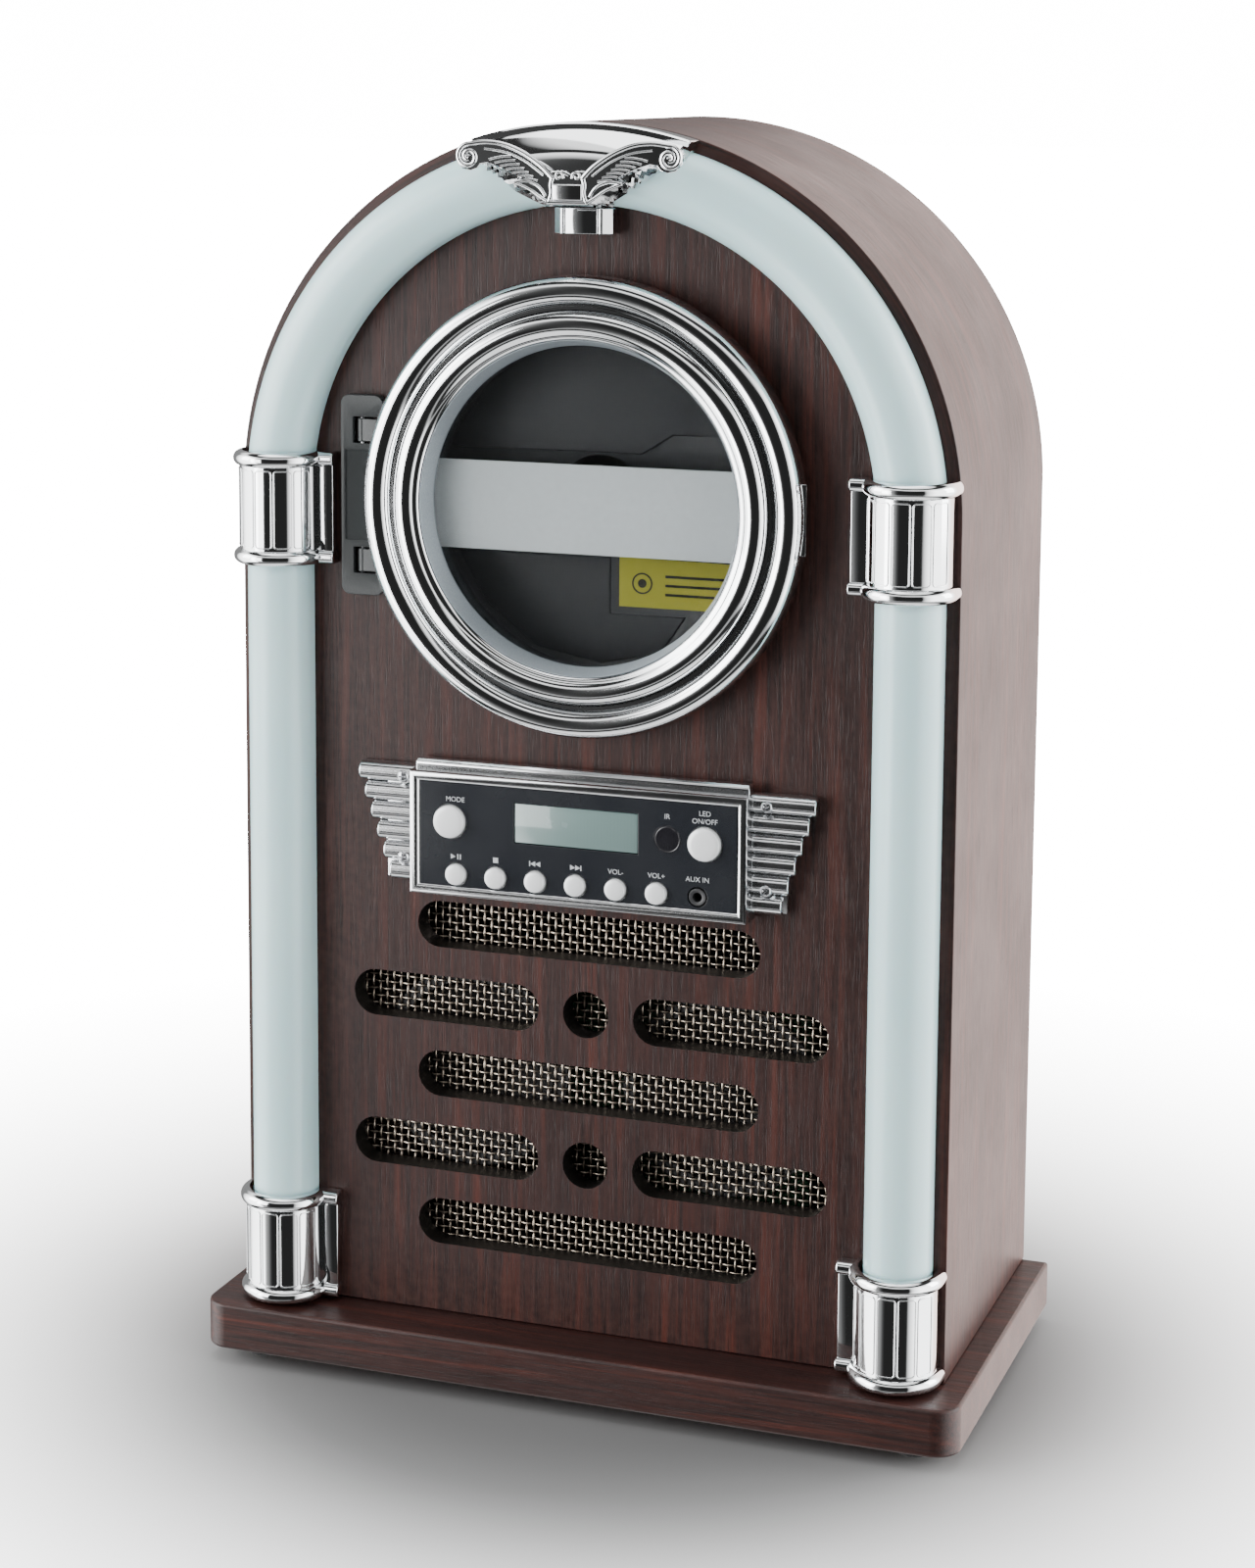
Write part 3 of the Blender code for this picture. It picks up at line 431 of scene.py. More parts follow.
def walnut(name, turn=(0.0, 0.0, 0.0), wrapped=False, painted_cuts=False):
    made, tree, shader, place = new_material(name, Specular_IOR_Level=0.35)
    if wrapped:
        wrap = added(tree, "ShaderNodeUVMap", uv_map="wrap")
        parts = tree.nodes.new("ShaderNodeSeparateXYZ")
        grain = tree.nodes.new("ShaderNodeCombineXYZ")
        wire(tree, (wrap.outputs[0], parts.inputs[0]), (parts.outputs["X"], grain.inputs["X"]),
             (parts.outputs["Y"], grain.inputs["Z"]))
        along = grain.outputs[0]
    else:
        swivel = added(tree, "ShaderNodeMapping", Rotation=turn)
        tree.links.new(place, swivel.inputs["Vector"])
        along = swivel.outputs[0]
    foil = placed(tree, WALNUT, along)
    wear = placed(tree, WEAR, place)
    colour = mixed(tree, maths(tree, "MULTIPLY", wear.outputs["Edge"], 0.35), foil.outputs["Color"],
                   (0.11, 0.050, 0.038))
    if painted_cuts:
        faced = tree.nodes.new("ShaderNodeNewGeometry")
        out = tree.nodes.new("ShaderNodeSeparateXYZ")
        tree.links.new(faced.outputs["True Normal"], out.inputs[0])
        edge = band(tree, maths(tree, "ABSOLUTE", out.outputs["Y"]), 0.25, 0.55, 1.0, 0.0)
        colour = mixed(tree, edge, colour, (0.0035, 0.0028, 0.0026))
    rough = maths(tree, "ADD", foil.outputs["Roughness"], maths(tree, "MULTIPLY", wear.outputs["Smear"], 0.06))
    wire(tree, (colour, shader["Base Color"]), (rough, shader["Roughness"]),
         (bumped(tree, foil.outputs["Height"], 0.35, 0.00012), shader["Normal"]))
    return made


def fitted(piece, material, body, slot, *nodes):
    """Gives a piece its material and its CAD body, and hides the CAD nodes that it stands for. The slot is not used.
    """
    piece.data.materials.clear()
    piece.data.materials.append(material)
    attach(piece, body)
    if nodes:
        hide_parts(*nodes)
    return piece


def wrap_map(piece):
    """A flat map of the bent shell: across is the depth, up is the distance round it from the right foot."""
    across_up = piece.data.uv_layers.new(name="wrap")
    leg = ARCH_Z - FOOT_Z
    for loop in piece.data.loops:
        x, y, z = piece.data.vertices[loop.vertex_index].co
        if z > ARCH_Z:
            round_it = leg + HALF * math.atan2(z - ARCH_Z, x)
            wall = math.hypot(x, z - ARCH_Z)
        else:
            round_it = z - FOOT_Z if x > 0 else 2 * leg + math.pi * HALF - (z - FOOT_Z)
            wall = abs(x)
        across_up.data[loop.index].uv = (y + HALF - wall, round_it)


shell = swept_arch("case_shell", [(HALF - SHELL_WALL + GAP, FRONT), (HALF, FRONT), (HALF, BACK),
                                  (HALF - SHELL_WALL + GAP, BACK)], FOOT_Z)
softened(shell, 0.0005, 2, 60)
wrap_map(shell)
fitted(shell, walnut("walnut_foil_shell", wrapped=True), "cabinet", "walnut_vinyl", "cabinet_shell")

plinth_corner = 0.010
x, y = plinth_high[0], plinth_low[1]
outline = [(x, plinth_high[1]), (-x, plinth_high[1]),
           *arc(plinth_corner, 180, 270, 10, (-x + plinth_corner, y + plinth_corner)),
           *arc(plinth_corner, 270, 360, 10, (x - plinth_corner, y + plinth_corner))]
plinth = prism("case_plinth", outline, "Z", plinth_low[2], plinth_high[2])
flattened(softened(plinth, 0.0011, 3, 50))
fitted(plinth, walnut("walnut_foil_plinth", (0, math.pi / 2, 0)), "cabinet", "walnut_vinyl", "plinth")


def slot_outline(low, high, half, z, steps=12):
    return arc(half, -90, 90, steps, (high - half, z)) + arc(half, 90, 270, steps, (low + half, z))


SLOT_HALF, ROW_PITCH, TOP_ROW_Z = 0.009, 0.02938, 0.1780
LONG_HALF, SHORT_IN, SHORT_OUT = 0.068, 0.0188, 0.0946
BAY_R = 0.0662
front = prism("case_front", [(front_high[0], FOOT_Z + GAP), *arc(front_high[0], 0, 180, 72, (0, ARCH_Z)),
                             (-front_high[0], FOOT_Z + GAP)], "Y", FRONT, front_high[1])
through = (FRONT - 0.01, front_high[1] + 0.01)
cutters = [prism("bay_cutter", arc(BAY_R, 0, 352.5, 47, (0, ARCH_Z)), "Y", *through)]
for row in range(5):
    z = TOP_ROW_Z - row * ROW_PITCH
    if row % 2 == 0:
        spans = [(-LONG_HALF, LONG_HALF)]
    else:
        spans = [(-SHORT_OUT, -SHORT_IN), (-SLOT_HALF - 1e-5, SLOT_HALF + 1e-5), (SHORT_IN, SHORT_OUT)]
    cutters += [prism("slot_cutter", slot_outline(low, high, SLOT_HALF, z), "Y", *through)
                for low, high in spans]
cut(front, *cutters)
flattened(softened(front, 0.0005, 2, 50))
fitted(front, walnut("walnut_foil_front", painted_cuts=True), "cabinet", "walnut_vinyl", "front_panel")


def moulded(name, colour, rough, coat=0.0, grain=1400.0, depth=0.00006, worn=(0.2, 0.2, 0.2), **constants):
    """Moulded plastic or rubber: fine spark texture, broad smears and rubbed edges."""
    made, tree, shader, place = new_material(name, Coat_Weight=coat, **constants)
    wear = placed(tree, WEAR, place, grain)
    dark = tuple(0.72 * value for value in colour)
    tone = mixed(tree, maths(tree, "MULTIPLY", wear.outputs["Smear"], 0.5), colour, dark)
    tone = mixed(tree, maths(tree, "MULTIPLY", wear.outputs["Edge"], 0.25), tone, worn)
    wire(tree, (tone, shader["Base Color"]),
         (band(tree, wear.outputs["Smear"], 0, 1, rough - 0.05, rough + 0.07), shader["Roughness"]),
         (bumped(tree, wear.outputs["Dust"], 0.25, depth), shader["Normal"]))
    return made


RUBBER = moulded("foot_rubber", (0.012, 0.012, 0.012), 0.72)
for name in ("foot_front_left", "foot_front_right", "foot_back_left", "foot_back_right"):
    low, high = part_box(name)
    centre = ((low[0] + high[0]) / 2, (low[1] + high[1]) / 2, 0)
    r, top = (high[0] - low[0]) / 2, high[2]
    profile = [(0, 0), (0.55 * r, 0), (0.60 * r, 0.0006), (0.82 * r, 0.0002), (0.94 * r, 0.0008),
               (r, top * 0.8), (0.97 * r, top), (0, top)]
    foot = turned(f"{name}_pad", profile, centre, "Z", 32)
    fitted(foot, RUBBER, "cabinet", "rubber", name)

# Light tubes: satin milky covers, one bent over the arch and one down each side, clipped to the front board
# over a strip of lamps. They end inside the chrome collars.

tube_low, tube_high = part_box("tube_right")
TUBE_X = (tube_low[0] + tube_high[0]) / 2
TUBE_R = (tube_high[0] - tube_low[0]) / 2
TUBE_RISE = 0.004
TUBE_WALL = 0.0016
TUBE_JOINT_Z = tube_high[2]


def tube_section():
    inside = TUBE_R - TUBE_WALL
    points = [(TUBE_R, GAP), *arc(TUBE_R, 0, 180, 22, (0, TUBE_RISE)), (-TUBE_R, GAP), (-inside, GAP),
              *arc(inside, 180, 0, 12, (0, TUBE_RISE)), (inside, GAP)]
    return [(TUBE_X + across, FRONT - out) for across, out in points]


def milky_material():
    made, tree, shader, place = new_material("milky_diffuser", Coat_Weight=0.35, Coat_Roughness=0.16,
                                             Subsurface_Weight=0.12, Subsurface_Scale=0.004)
    wear = placed(tree, WEAR, place, 900.0)
    cloud = added(tree, "ShaderNodeTexNoise", Scale=14.0)
    tree.links.new(place, cloud.inputs["Vector"])
    tone = mixed(tree, band(tree, cloud.outputs["Fac"], 0.35, 0.65), (0.52, 0.76, 0.79), (0.57, 0.80, 0.82))
    tone = mixed(tree, maths(tree, "MULTIPLY", wear.outputs["Smear"], 0.12), tone, (0.50, 0.66, 0.69))
    wire(tree, (tone, shader["Base Color"]),
         (band(tree, wear.outputs["Smear"], 0, 1, 0.30, 0.40), shader["Roughness"]),
         (bumped(tree, wear.outputs["Dust"], 0.12, 0.00005), shader["Normal"]))
    return made


MILKY = milky_material()
arch = swept_arch("tube_arch_cover", tube_section(), TUBE_JOINT_Z + GAP)
fitted(arch, MILKY, "cabinet", "milky_tube", "tube_arch")
for side, sign in (("left", -1), ("right", 1)):
    section = [(sign * x, y) for x, y in tube_section()]
    tube = prism(f"tube_{side}_cover", section, "Z", tube_low[2], TUBE_JOINT_Z)
    fitted(tube, MILKY, "cabinet", "milky_tube", f"tube_{side}")

# Chrome collars: thin plated mouldings that clip over each tube joint and foot, with a bead round each end,
# five sunk panels round the barrel and a flat wing towards the door, held between two lips.

BARREL_R, RIM_R, RIM_HEIGHT = 0.0154, 0.0177, 0.0058
PANEL_HEIGHT, PANEL_WIDTH, PANEL_TURN = 0.0293, 0.0066, 28.5


def hooped(name, profile, middle, steps=48):
    """A profile of (radius, z) pairs, carried round the front of a tube and straight back to the board."""
    piece = drawn(name, [(middle + r, FRONT - GAP, z) for r, z in profile])
    extrude(y=GAP - TUBE_RISE)
    bpy.ops.mesh.spin(steps=steps, angle=math.pi, center=(middle, FRONT - TUBE_RISE, 0), axis=(0, 0, 1))
    extrude(y=TUBE_RISE - GAP)
    return closed(piece)


def rounded(width, height, corner, centre=(0.0, 0.0), steps=4):
    """Outline of a rectangle with round corners."""
    x, z = width / 2 - corner, height / 2 - corner
    points = []
    for start, sx, sz in ((0, 1, 1), (90, -1, 1), (180, -1, -1), (270, 1, -1)):
        points += arc(corner, start, start + 90, steps, (centre[0] + sx * x, centre[1] + sz * z))
    return points


def beaded(name, points, radius, flat=1.0, sides=3, ring=False):
    """A raised line: a smooth curve with a round section, made a mesh and pressed flat along Y."""
    deselect()
    bpy.ops.curve.primitive_nurbs_path_add(location=(0, 0, 0))
    line = bpy.context.object
    line.name = name
    path = line.data
    path.splines.clear()
    spline = path.splines.new("POLY" if ring else "NURBS")
    spline.points.add(len(points) - 1)
    for point, (x, z, size) in zip(spline.points, points):
        point.co = (x, 0.0, z, 1.0)
        point.radius = size
    if ring:
        spline.use_cyclic_u = True
    else:
        spline.use_endpoint_u = True
        spline.order_u = 3
        spline.resolution_u = 6
    path.dimensions = "3D"
    path.bevel_depth = radius
    path.bevel_resolution = sides
    path.use_fill_caps = not ring
    bpy.ops.object.convert(target="MESH")
    line.data.transform(Matrix.Diagonal((1.0, flat, 1.0, 1.0)))
    line.data.shade_smooth()
    return line


def chrome_material(name="bright_chrome", tint=(0.80, 0.815, 0.825), rough=0.045):
    made, tree, shader, place = new_material(name, Metallic=1.0)
    wear = placed(tree, WEAR, place, 700.0)
    tone = mixed(tree, maths(tree, "MULTIPLY", wear.outputs["Smear"], 0.10), tint, (0.66, 0.67, 0.66))
    wire(tree, (tone, shader["Base Color"]),
         (band(tree, wear.outputs["Smear"], 0, 1, rough, rough + 0.05), shader["Roughness"]),
         (bumped(tree, wear.outputs["Smear"], 0.02, 0.0001), shader["Normal"]))
    return made


CHROME = chrome_material()


def copied(piece, name, across=1.0, lift=0.0):
    """A copy with its own mesh, mirrored left to right when across is -1, and moved up by lift."""
    twin = piece.copy()
    twin.data = piece.data.copy()
    twin.name = name
    twin.data.name = name
    bpy.context.scene.collection.objects.link(twin)
    twin.data.transform(Matrix.Translation((0, 0, lift)) @ Matrix.Diagonal((across, 1.0, 1.0, 1.0)))
    if across < 0:
        twin.data.flip_normals()
    return twin


def collar(name, low, high):
    middle, half = TUBE_X, (low + high) / 2
    barrel = hooped(name, [(BARREL_R - 0.0014, low + 0.002), (BARREL_R, low + 0.002),
                           (BARREL_R, high - 0.002), (BARREL_R - 0.0014, high - 0.002)], middle, 64)
    parts = []
    for number in range(-2, 3):
        outline = [(x, z, 1.0) for x, z in rounded(PANEL_WIDTH, PANEL_HEIGHT, 0.0012, (0, half), 4)]
        edging = beaded("panel_edge", outline, 0.00030, sides=2, ring=True)
        for vertex in edging.data.vertices:
            about, out = vertex.co.x / BARREL_R + math.radians(number * PANEL_TURN), BARREL_R - vertex.co.y
            vertex.co.x = middle + out * math.sin(about)
            vertex.co.y = FRONT - TUBE_RISE - out * math.cos(about)
        parts.append(edging)
    bead = RIM_HEIGHT / 2
    for bottom in (low, high - RIM_HEIGHT):
        crown = [(RIM_R - bead + u, bottom + bead + v) for u, v in arc(bead, -90, 90, 16)]
        profile = [(BARREL_R - 0.0012, bottom), *crown, (BARREL_R - 0.0012, bottom + RIM_HEIGHT)]
        parts.append(hooped("rim", profile, middle, 64))
    edge, inner = FLANGE_X, TUBE_X - BARREL_R + 0.0012
    plate = slab("plate", (edge + 0.0005, FRONT - 0.0046, low + 0.003), (inner, FRONT - GAP, high - 0.003))
    parts.append(softened(plate, 0.0005, 3, 50))
    for bottom in (low + 0.0002, high - 0.0054):
        crown = [(FRONT - 0.0042 - out, bottom + 0.0026 + up) for up, out in arc(0.0026, 0, 180, 10)]
        lip = prism("lip", [(FRONT - GAP, bottom + 0.0052), *crown, (FRONT - GAP, bottom)], "X", edge, inner)
        parts.append(softened(lip, 0.0006, 3, 60))
    return joined(barrel, *parts)


FLANGE_X = 0.1000
lower_low, lower_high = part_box("collar_lower_right")
first = collar("collar_lower_right_chrome", lower_low[2], lower_high[2])
for level in ("lower", "upper"):
    for side, sign in (("right", 1), ("left", -1)):
        node = f"collar_{level}_{side}"
        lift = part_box(node)[0][2] - lower_low[2]
        made = first if node == "collar_lower_right" else copied(first, f"{node}_chrome", sign, lift)
        fitted(made, CHROME, "cabinet", "chrome", node)

# The clasp: a chrome saddle over the top of the arch tube, cut back along two slanted sides, with a flat
# rim along its upper edge. A scroll-ended pair of wings is pinned on its front, over a small faceted buckle.

CLASP_R = 0.0172
CLASP_TURN = math.radians(17.4)
buckle_low, buckle_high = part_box("clasp_buckle")


def clasp_saddle():
    inner = TUBE_R + 0.0006
    points = [(CLASP_R, GAP), (CLASP_R, TUBE_RISE + 0.0066), (CLASP_R - 0.0006, TUBE_RISE + 0.0072),
              (CLASP_R - 0.0026, TUBE_RISE + 0.0072), *arc(CLASP_R - 0.0009, 62, 180, 22, (0, TUBE_RISE)),
              (-CLASP_R + 0.0003, GAP), (-inner, GAP),
              *arc(inner, 180, 0, 20, (0, TUBE_RISE)), (inner, GAP)]
    saddle = drawn("clasp_saddle", [(0.0, FRONT - out, ARCH_Z + TUBE_X + up) for up, out in points])
    bpy.ops.object.mode_set(mode="OBJECT")
    about = Matrix.Translation((0, 0, ARCH_Z))
    saddle.data.transform(about @ Matrix.Rotation(CLASP_TURN, 4, "Y") @ about.inverted())
    bpy.ops.object.mode_set(mode="EDIT")
    bpy.ops.mesh.select_all(action="SELECT")
    bpy.ops.mesh.spin(steps=40, angle=2 * CLASP_TURN, center=(0, 0, ARCH_Z), axis=(0, 1, 0))
    foot = (0.0085, 0.0, buckle_high[2] + 0.0006)
    slant = Vector((0.0355, 0.0, 0.0225))
    for sign in (-1, 1):
        bpy.ops.mesh.select_all(action="SELECT")
        bpy.ops.mesh.bisect(plane_co=(sign * foot[0], 0, foot[2]),
                            plane_no=(sign * slant.z, 0, -slant.x), use_fill=True, clear_outer=True)
    bpy.ops.mesh.select_all(action="SELECT")
    bpy.ops.mesh.bisect(plane_co=foot, plane_no=(0, 0, -1), use_fill=True, clear_outer=True)
    return softened(closed(saddle), 0.0004, 2, 50)


def ornament():
    """Both wings: a thin backing plate, a scroll at each tip, ribs that fan out as feathers, a small crest."""
    low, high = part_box("wing_ornament")
    face = low[1]
    top = ARCH_Z + TUBE_X
    half = [(0.0000, -0.0114), (0.0078, -0.0114), (0.0094, -0.0104), (0.0125, -0.0080), (0.0165, -0.0060),
            (0.0205, -0.0043), (0.0180, -0.0026), (0.0205, -0.0014), (0.0240, 0.0002), (0.0275, 0.0016),
            (0.0308, 0.0026), (0.0334, 0.0022), (0.0346, 0.0006), (0.0372, -0.0003), (0.0404, 0.0004),
            (0.0427, 0.0030), (0.0427, 0.0064), (0.0405, 0.0090), (0.0365, 0.0102), (0.0315, 0.0105),
            (0.0250, 0.0098), (0.0190, 0.0076), (0.0132, 0.0040), (0.0092, 0.0011), (0.0066, -0.0004),
            (0.0036, 0.0002), (0.0000, -0.0016)]
    outline = [(x, top + z) for x, z in half] + [(-x, top + z) for x, z in reversed(half[1:-1])]
    plate = prism("wing_ornament_chrome", outline, "Y", face + 0.0011, high[1])
    softened(plate, 0.0002, 1, 60)
    relief = []
    for sign in (-1, 1):
        def at(points, size=1.0):
            return [(sign * x, top + z, size) for x, z in points]

        def curl(x, z, radius, start, turns, steps):
            angles = [math.radians(start - 360 * turns * step / steps) for step in range(steps + 1)]
            reach = [radius * (1 - 0.82 * step / steps) for step in range(steps + 1)]
            return [(x + r * math.cos(a), z + r * math.sin(a)) for r, a in zip(reach, angles)]

        spine = [(0.0056, -0.0026), (0.0084, 0.0006), (0.0130, 0.0040), (0.0180, 0.0069), (0.0247, 0.0095),
                 (0.0320, 0.0102)]
        relief.append(beaded("spine", at(spine + curl(0.0380, 0.0048, 0.0046, 100, 1.55, 34)), 0.00092, 1.0))
        relief.append(beaded("scroll_eye", at([(0.0376, 0.0046), (0.0381, 0.0050), (0.0386, 0.0047)]), 0.0010))
        under = [(0.0092, -0.0016), (0.0135, 0.0018), (0.0184, 0.0046), (0.0248, 0.0070), (0.0318, 0.0076)]
        relief.append(beaded("under_line", at(under), 0.00045, 1.0, 2))
        for feather in range(7):
            share = feather / 6
            tip = (0.0300 - 0.0132 * share, 0.0038 - 0.0070 * share)
            root = (tip[0] - 0.0085 + 0.0030 * share, tip[1] + 0.0012 - 0.0016 * share)
            bend = ((root[0] + tip[0]) / 2, (root[1] + tip[1]) / 2 + 0.0007)
            relief.append(beaded("feather", at([root, bend, tip]), 0.00048, 1.1, 2))
        relief.append(beaded("tail_lower", at([(0.0080, -0.0106), (0.0105, -0.0092), (0.0135, -0.0070),
                                               (0.0170, -0.0054), (0.0203, -0.0043)]), 0.0006))
        relief.append(beaded("tail_upper", at([(0.0203, -0.0043), (0.0170, -0.0034), (0.0130, -0.0042),
                                               (0.0098, -0.0062), (0.0084, -0.0090)]), 0.0006))
        relief.append(beaded("crest_curl", at(curl(0.0034, -0.0019, 0.0019, 200, 1.1, 16)), 0.0005, 1.0, 2))
        relief.append(beaded("crest_side", at([(0.0072, -0.0112), (0.0058, -0.0082), (0.0066, -0.0046),
                                               (0.0056, -0.0022)]), 0.0008))
    relief.append(beaded("crest_foot", [(-0.0078, top - 0.0110, 1), (0, top - 0.0112, 1), (0.0078, top - 0.0110, 1)],
                         0.0008))
    boss = slab("boss", (-0.0056, -0.0011, top - 0.0104), (0.0056, 0.0, top - 0.0046))
    relief.append(softened(boss, 0.0009, 4, 40))
    for line in relief:
        line.data.transform(Matrix.Translation((0, face + 0.0010, 0)))
    return joined(plate, *relief)


fitted(clasp_saddle(), CHROME, "cabinet", "chrome", "top_clasp")
fitted(ornament(), CHROME, "cabinet", "chrome", "wing_ornament")

facets = [(-0.0112, -GAP), (-0.0112, -0.0060), (-0.0078, -0.0086), (0.0078, -0.0086), (0.0112, -0.0060),
          (0.0112, -GAP)]
buckle = prism("clasp_buckle_chrome", [(x, FRONT + y) for x, y in facets], "Z", buckle_low[2], buckle_high[2])
for x in (-0.0064, 0.0064):
    cut(buckle, slab("buckle_groove", (x - 0.0004, FRONT - 0.0100, buckle_low[2] - 0.01),
                     (x + 0.0004, FRONT - 0.0080, buckle_high[2] + 0.01)))
softened(buckle, 0.0005, 3, 30)
fitted(buckle, CHROME, "cabinet", "chrome", "clasp_buckle")

# The round door: a plated ring with two fat beads and a finger tab, a satin inner rim and a clear pane. Two
# dark arms at its left reach into a plate on the board, where a steel pin holds them.

RING_R, LIP_R = 0.085, 0.0621
door = (0, 0, ARCH_Z)


def ring_profile():
    """(radius, distance in front of the board), from the outer back edge round the front to the rebate."""
    outer = [(RING_R, 0.0046), (RING_R, 0.0092)]
    outer += [(0.0797 + 0.0053 * u, 0.0097 + 0.0053 * v) for u, v in arc(1.0, 0, 165, 22)]
    step = [(0.0744, 0.0106), (0.0740, 0.0106), (0.0738, 0.0121), (0.0727, 0.0121), (0.0725, 0.0112)]
    inner = [(0.0676 + 0.0048 * u, 0.0110 + 0.0048 * v) for u, v in arc(1.0, 10, 140, 18)]
    lip = [(0.0632, 0.0139), (0.0626, 0.0137), (LIP_R, 0.0131), (LIP_R, 0.0107), (0.0652, 0.0107),
           (0.0652, 0.0046)]
    return [(r, FRONT - out) for r, out in outer + step + inner + lip]


HINGE_X, HINGE_Y = -0.089, FRONT - 0.0023
LUG_APART, LUG_HALF = 0.0246, 0.0042
ring = turned("door_ring_chrome", ring_profile(), door, "Y", 144, 38)
lugs = []
for sign in (-1, 1):
    middle = ARCH_Z + sign * LUG_APART
    arm = prism("arm", [(HINGE_X, HINGE_Y - 0.0017), (-0.0800, HINGE_Y - 0.0026), (-0.0786, HINGE_Y - 0.0026),
                        (-0.0786, HINGE_Y + 0.0008), (HINGE_X, HINGE_Y + 0.0012)], "Z", middle - LUG_HALF,
                middle + LUG_HALF)
    lugs.append(softened(arm, 0.0004, 2, 40))
    lugs.append(turned("knuckle", [(0.00095, middle - 0.0044), (0.0016, middle - 0.0044),
                                   (0.0019, middle - 0.0041), (0.0019, middle + 0.0041),
                                   (0.0016, middle + 0.0044), (0.00095, middle + 0.0044)],
                       (HINGE_X, HINGE_Y, 0), "Z", 24))
finger = prism("finger_tab", [(0.0836, FRONT - 0.0072), (0.0856, FRONT - 0.0076), (0.0856, FRONT - 0.0092),
                              (0.0836, FRONT - 0.0096)], "Z", ARCH_Z - 0.013, ARCH_Z + 0.013)
joined(ring, softened(finger, 0.0003, 2, 40))
fitted(ring, CHROME, "door", "chrome", "door_ring")
hinge_arms = joined(*lugs)
hinge_arms.name = "door_hinge_arms"


def satin_silver():
    made, tree, shader, place = new_material("satin_silver_paint", Metallic=0.35, Coat_Weight=0.2,
                                             Coat_Roughness=0.25)
    wear = placed(tree, WEAR, place, 2600.0)
    tone = mixed(tree, wear.outputs["Dust"], (0.25, 0.29, 0.32), (0.33, 0.375, 0.405))
    wire(tree, (tone, shader["Base Color"]),
         (band(tree, wear.outputs["Smear"], 0, 1, 0.34, 0.46), shader["Roughness"]),
         (bumped(tree, wear.outputs["Dust"], 0.1, 0.00004), shader["Normal"]))
    return made


SILVER = satin_silver()
rim_profile = [(LIP_R - GAP, 0.0128), (LIP_R - GAP, 0.0104), (0.0647, 0.0104), (0.0648, 0.0039),
               (0.0594, 0.0039), (0.0592, 0.0043), (0.0592, 0.0052), (0.0594, 0.0057), (0.0614, 0.0125),
               (0.0616, 0.0128)]
rim = turned("door_rim_satin", [(r, FRONT - out) for r, out in rim_profile], door, "Y", 128)
fitted(rim, SILVER, "door", "rim_plastic", "door_rim")


def pane_material():
    made, tree, shader, place = new_material("clear_pane", Transmission_Weight=1.0, IOR=1.46, Metallic=0.0)
    wear = placed(tree, WEAR, place, 90.0)
    tone = mixed(tree, wear.outputs["Smear"], (0.985, 0.99, 0.99), (0.955, 0.965, 0.965))
    wire(tree, (tone, shader["Base Color"]),
         (band(tree, wear.outputs["Smear"], 0, 1, 0.015, 0.05), shader["Roughness"]))
    return made


PANE_R = 0.0647
pane = turned("door_pane", [(0, FRONT - 0.0036), (PANE_R - 0.0003, FRONT - 0.0036), (PANE_R, FRONT - 0.0033),
                            (PANE_R, FRONT - 0.0027), (PANE_R - 0.0003, FRONT - 0.0024), (0, FRONT - 0.0024)],
              door, "Y", 96, 30)
fitted(pane, pane_material(), "door", "clear_window", "door_window")

plate_low, plate_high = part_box("hinge_plate")
plate_x = (plate_low[0] + plate_high[0]) / 2
plate = prism("hinge_plate_moulded", rounded(plate_high[0] - plate_low[0], plate_high[2] - plate_low[2], 0.0034,
                                             (plate_x, ARCH_Z), 6), "Y", plate_low[1], plate_high[1])
for sign in (-1, 1):
    middle = ARCH_Z + sign * LUG_APART
    cut(plate, slab("lug_cutter", (-0.0922, FRONT - 0.01, middle - 0.0050),
                    (-0.0700, FRONT + 0.01, middle + 0.0050)))
cut(plate, slab("tray_cutter", (plate_low[0] + 0.0016, FRONT - 0.010, ARCH_Z - 0.0170),
                (-0.0700, plate_low[1] + 0.0008, ARCH_Z + 0.0170)),
    slab("pin_cutter", (HINGE_X - 0.0010, HINGE_Y - 0.0010, ARCH_Z - 0.0345),
         (HINGE_X + 0.0010, HINGE_Y + 0.0010, ARCH_Z + 0.0345)))
softened(plate, 0.0003, 2, 50)
DARK_GREY = moulded("dark_grey_moulding", (0.028, 0.032, 0.033), 0.42, worn=(0.16, 0.17, 0.17))
fitted(hinge_arms, DARK_GREY, "door", "grey_plastic")
fitted(plate, DARK_GREY, "cabinet", "grey_plastic", "hinge_plate")


def steel_material():
    made, tree, shader, place = new_material("turned_steel", Metallic=1.0)
    turning = stretched_noise(tree, place, (900, 900, 5200), 3.0)
    wear = placed(tree, WEAR, place)
    tone = mixed(tree, maths(tree, "MULTIPLY", wear.outputs["Smear"], 0.4), (0.52, 0.53, 0.55), (0.40, 0.40, 0.41))
    wire(tree, (tone, shader["Base Color"]), (band(tree, turning, 0.3, 0.7, 0.18, 0.34), shader["Roughness"]),
         (bumped(tree, turning, 0.2, 0.00003), shader["Normal"]))
    return made


STEEL = steel_material()
pin_low, pin_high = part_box("hinge_pin")
pin = turned("hinge_pin_steel", [(0, pin_low[2]), (0.0005, pin_low[2]), (0.0008, pin_low[2] + 0.0004),
                                 (0.0008, pin_high[2] - 0.0004), (0.0005, pin_high[2]), (0, pin_high[2])],
             (HINGE_X, HINGE_Y, 0), "Z", 20)
fitted(pin, STEEL, "cabinet", "steel", "hinge_pin")

# The disc bay behind the door: a dark moulded dish with raised pads and a slot for the lens, a turntable hub
# with three sprung grips, a strip of white packing card stuck across the mouth and a yellow paper label.

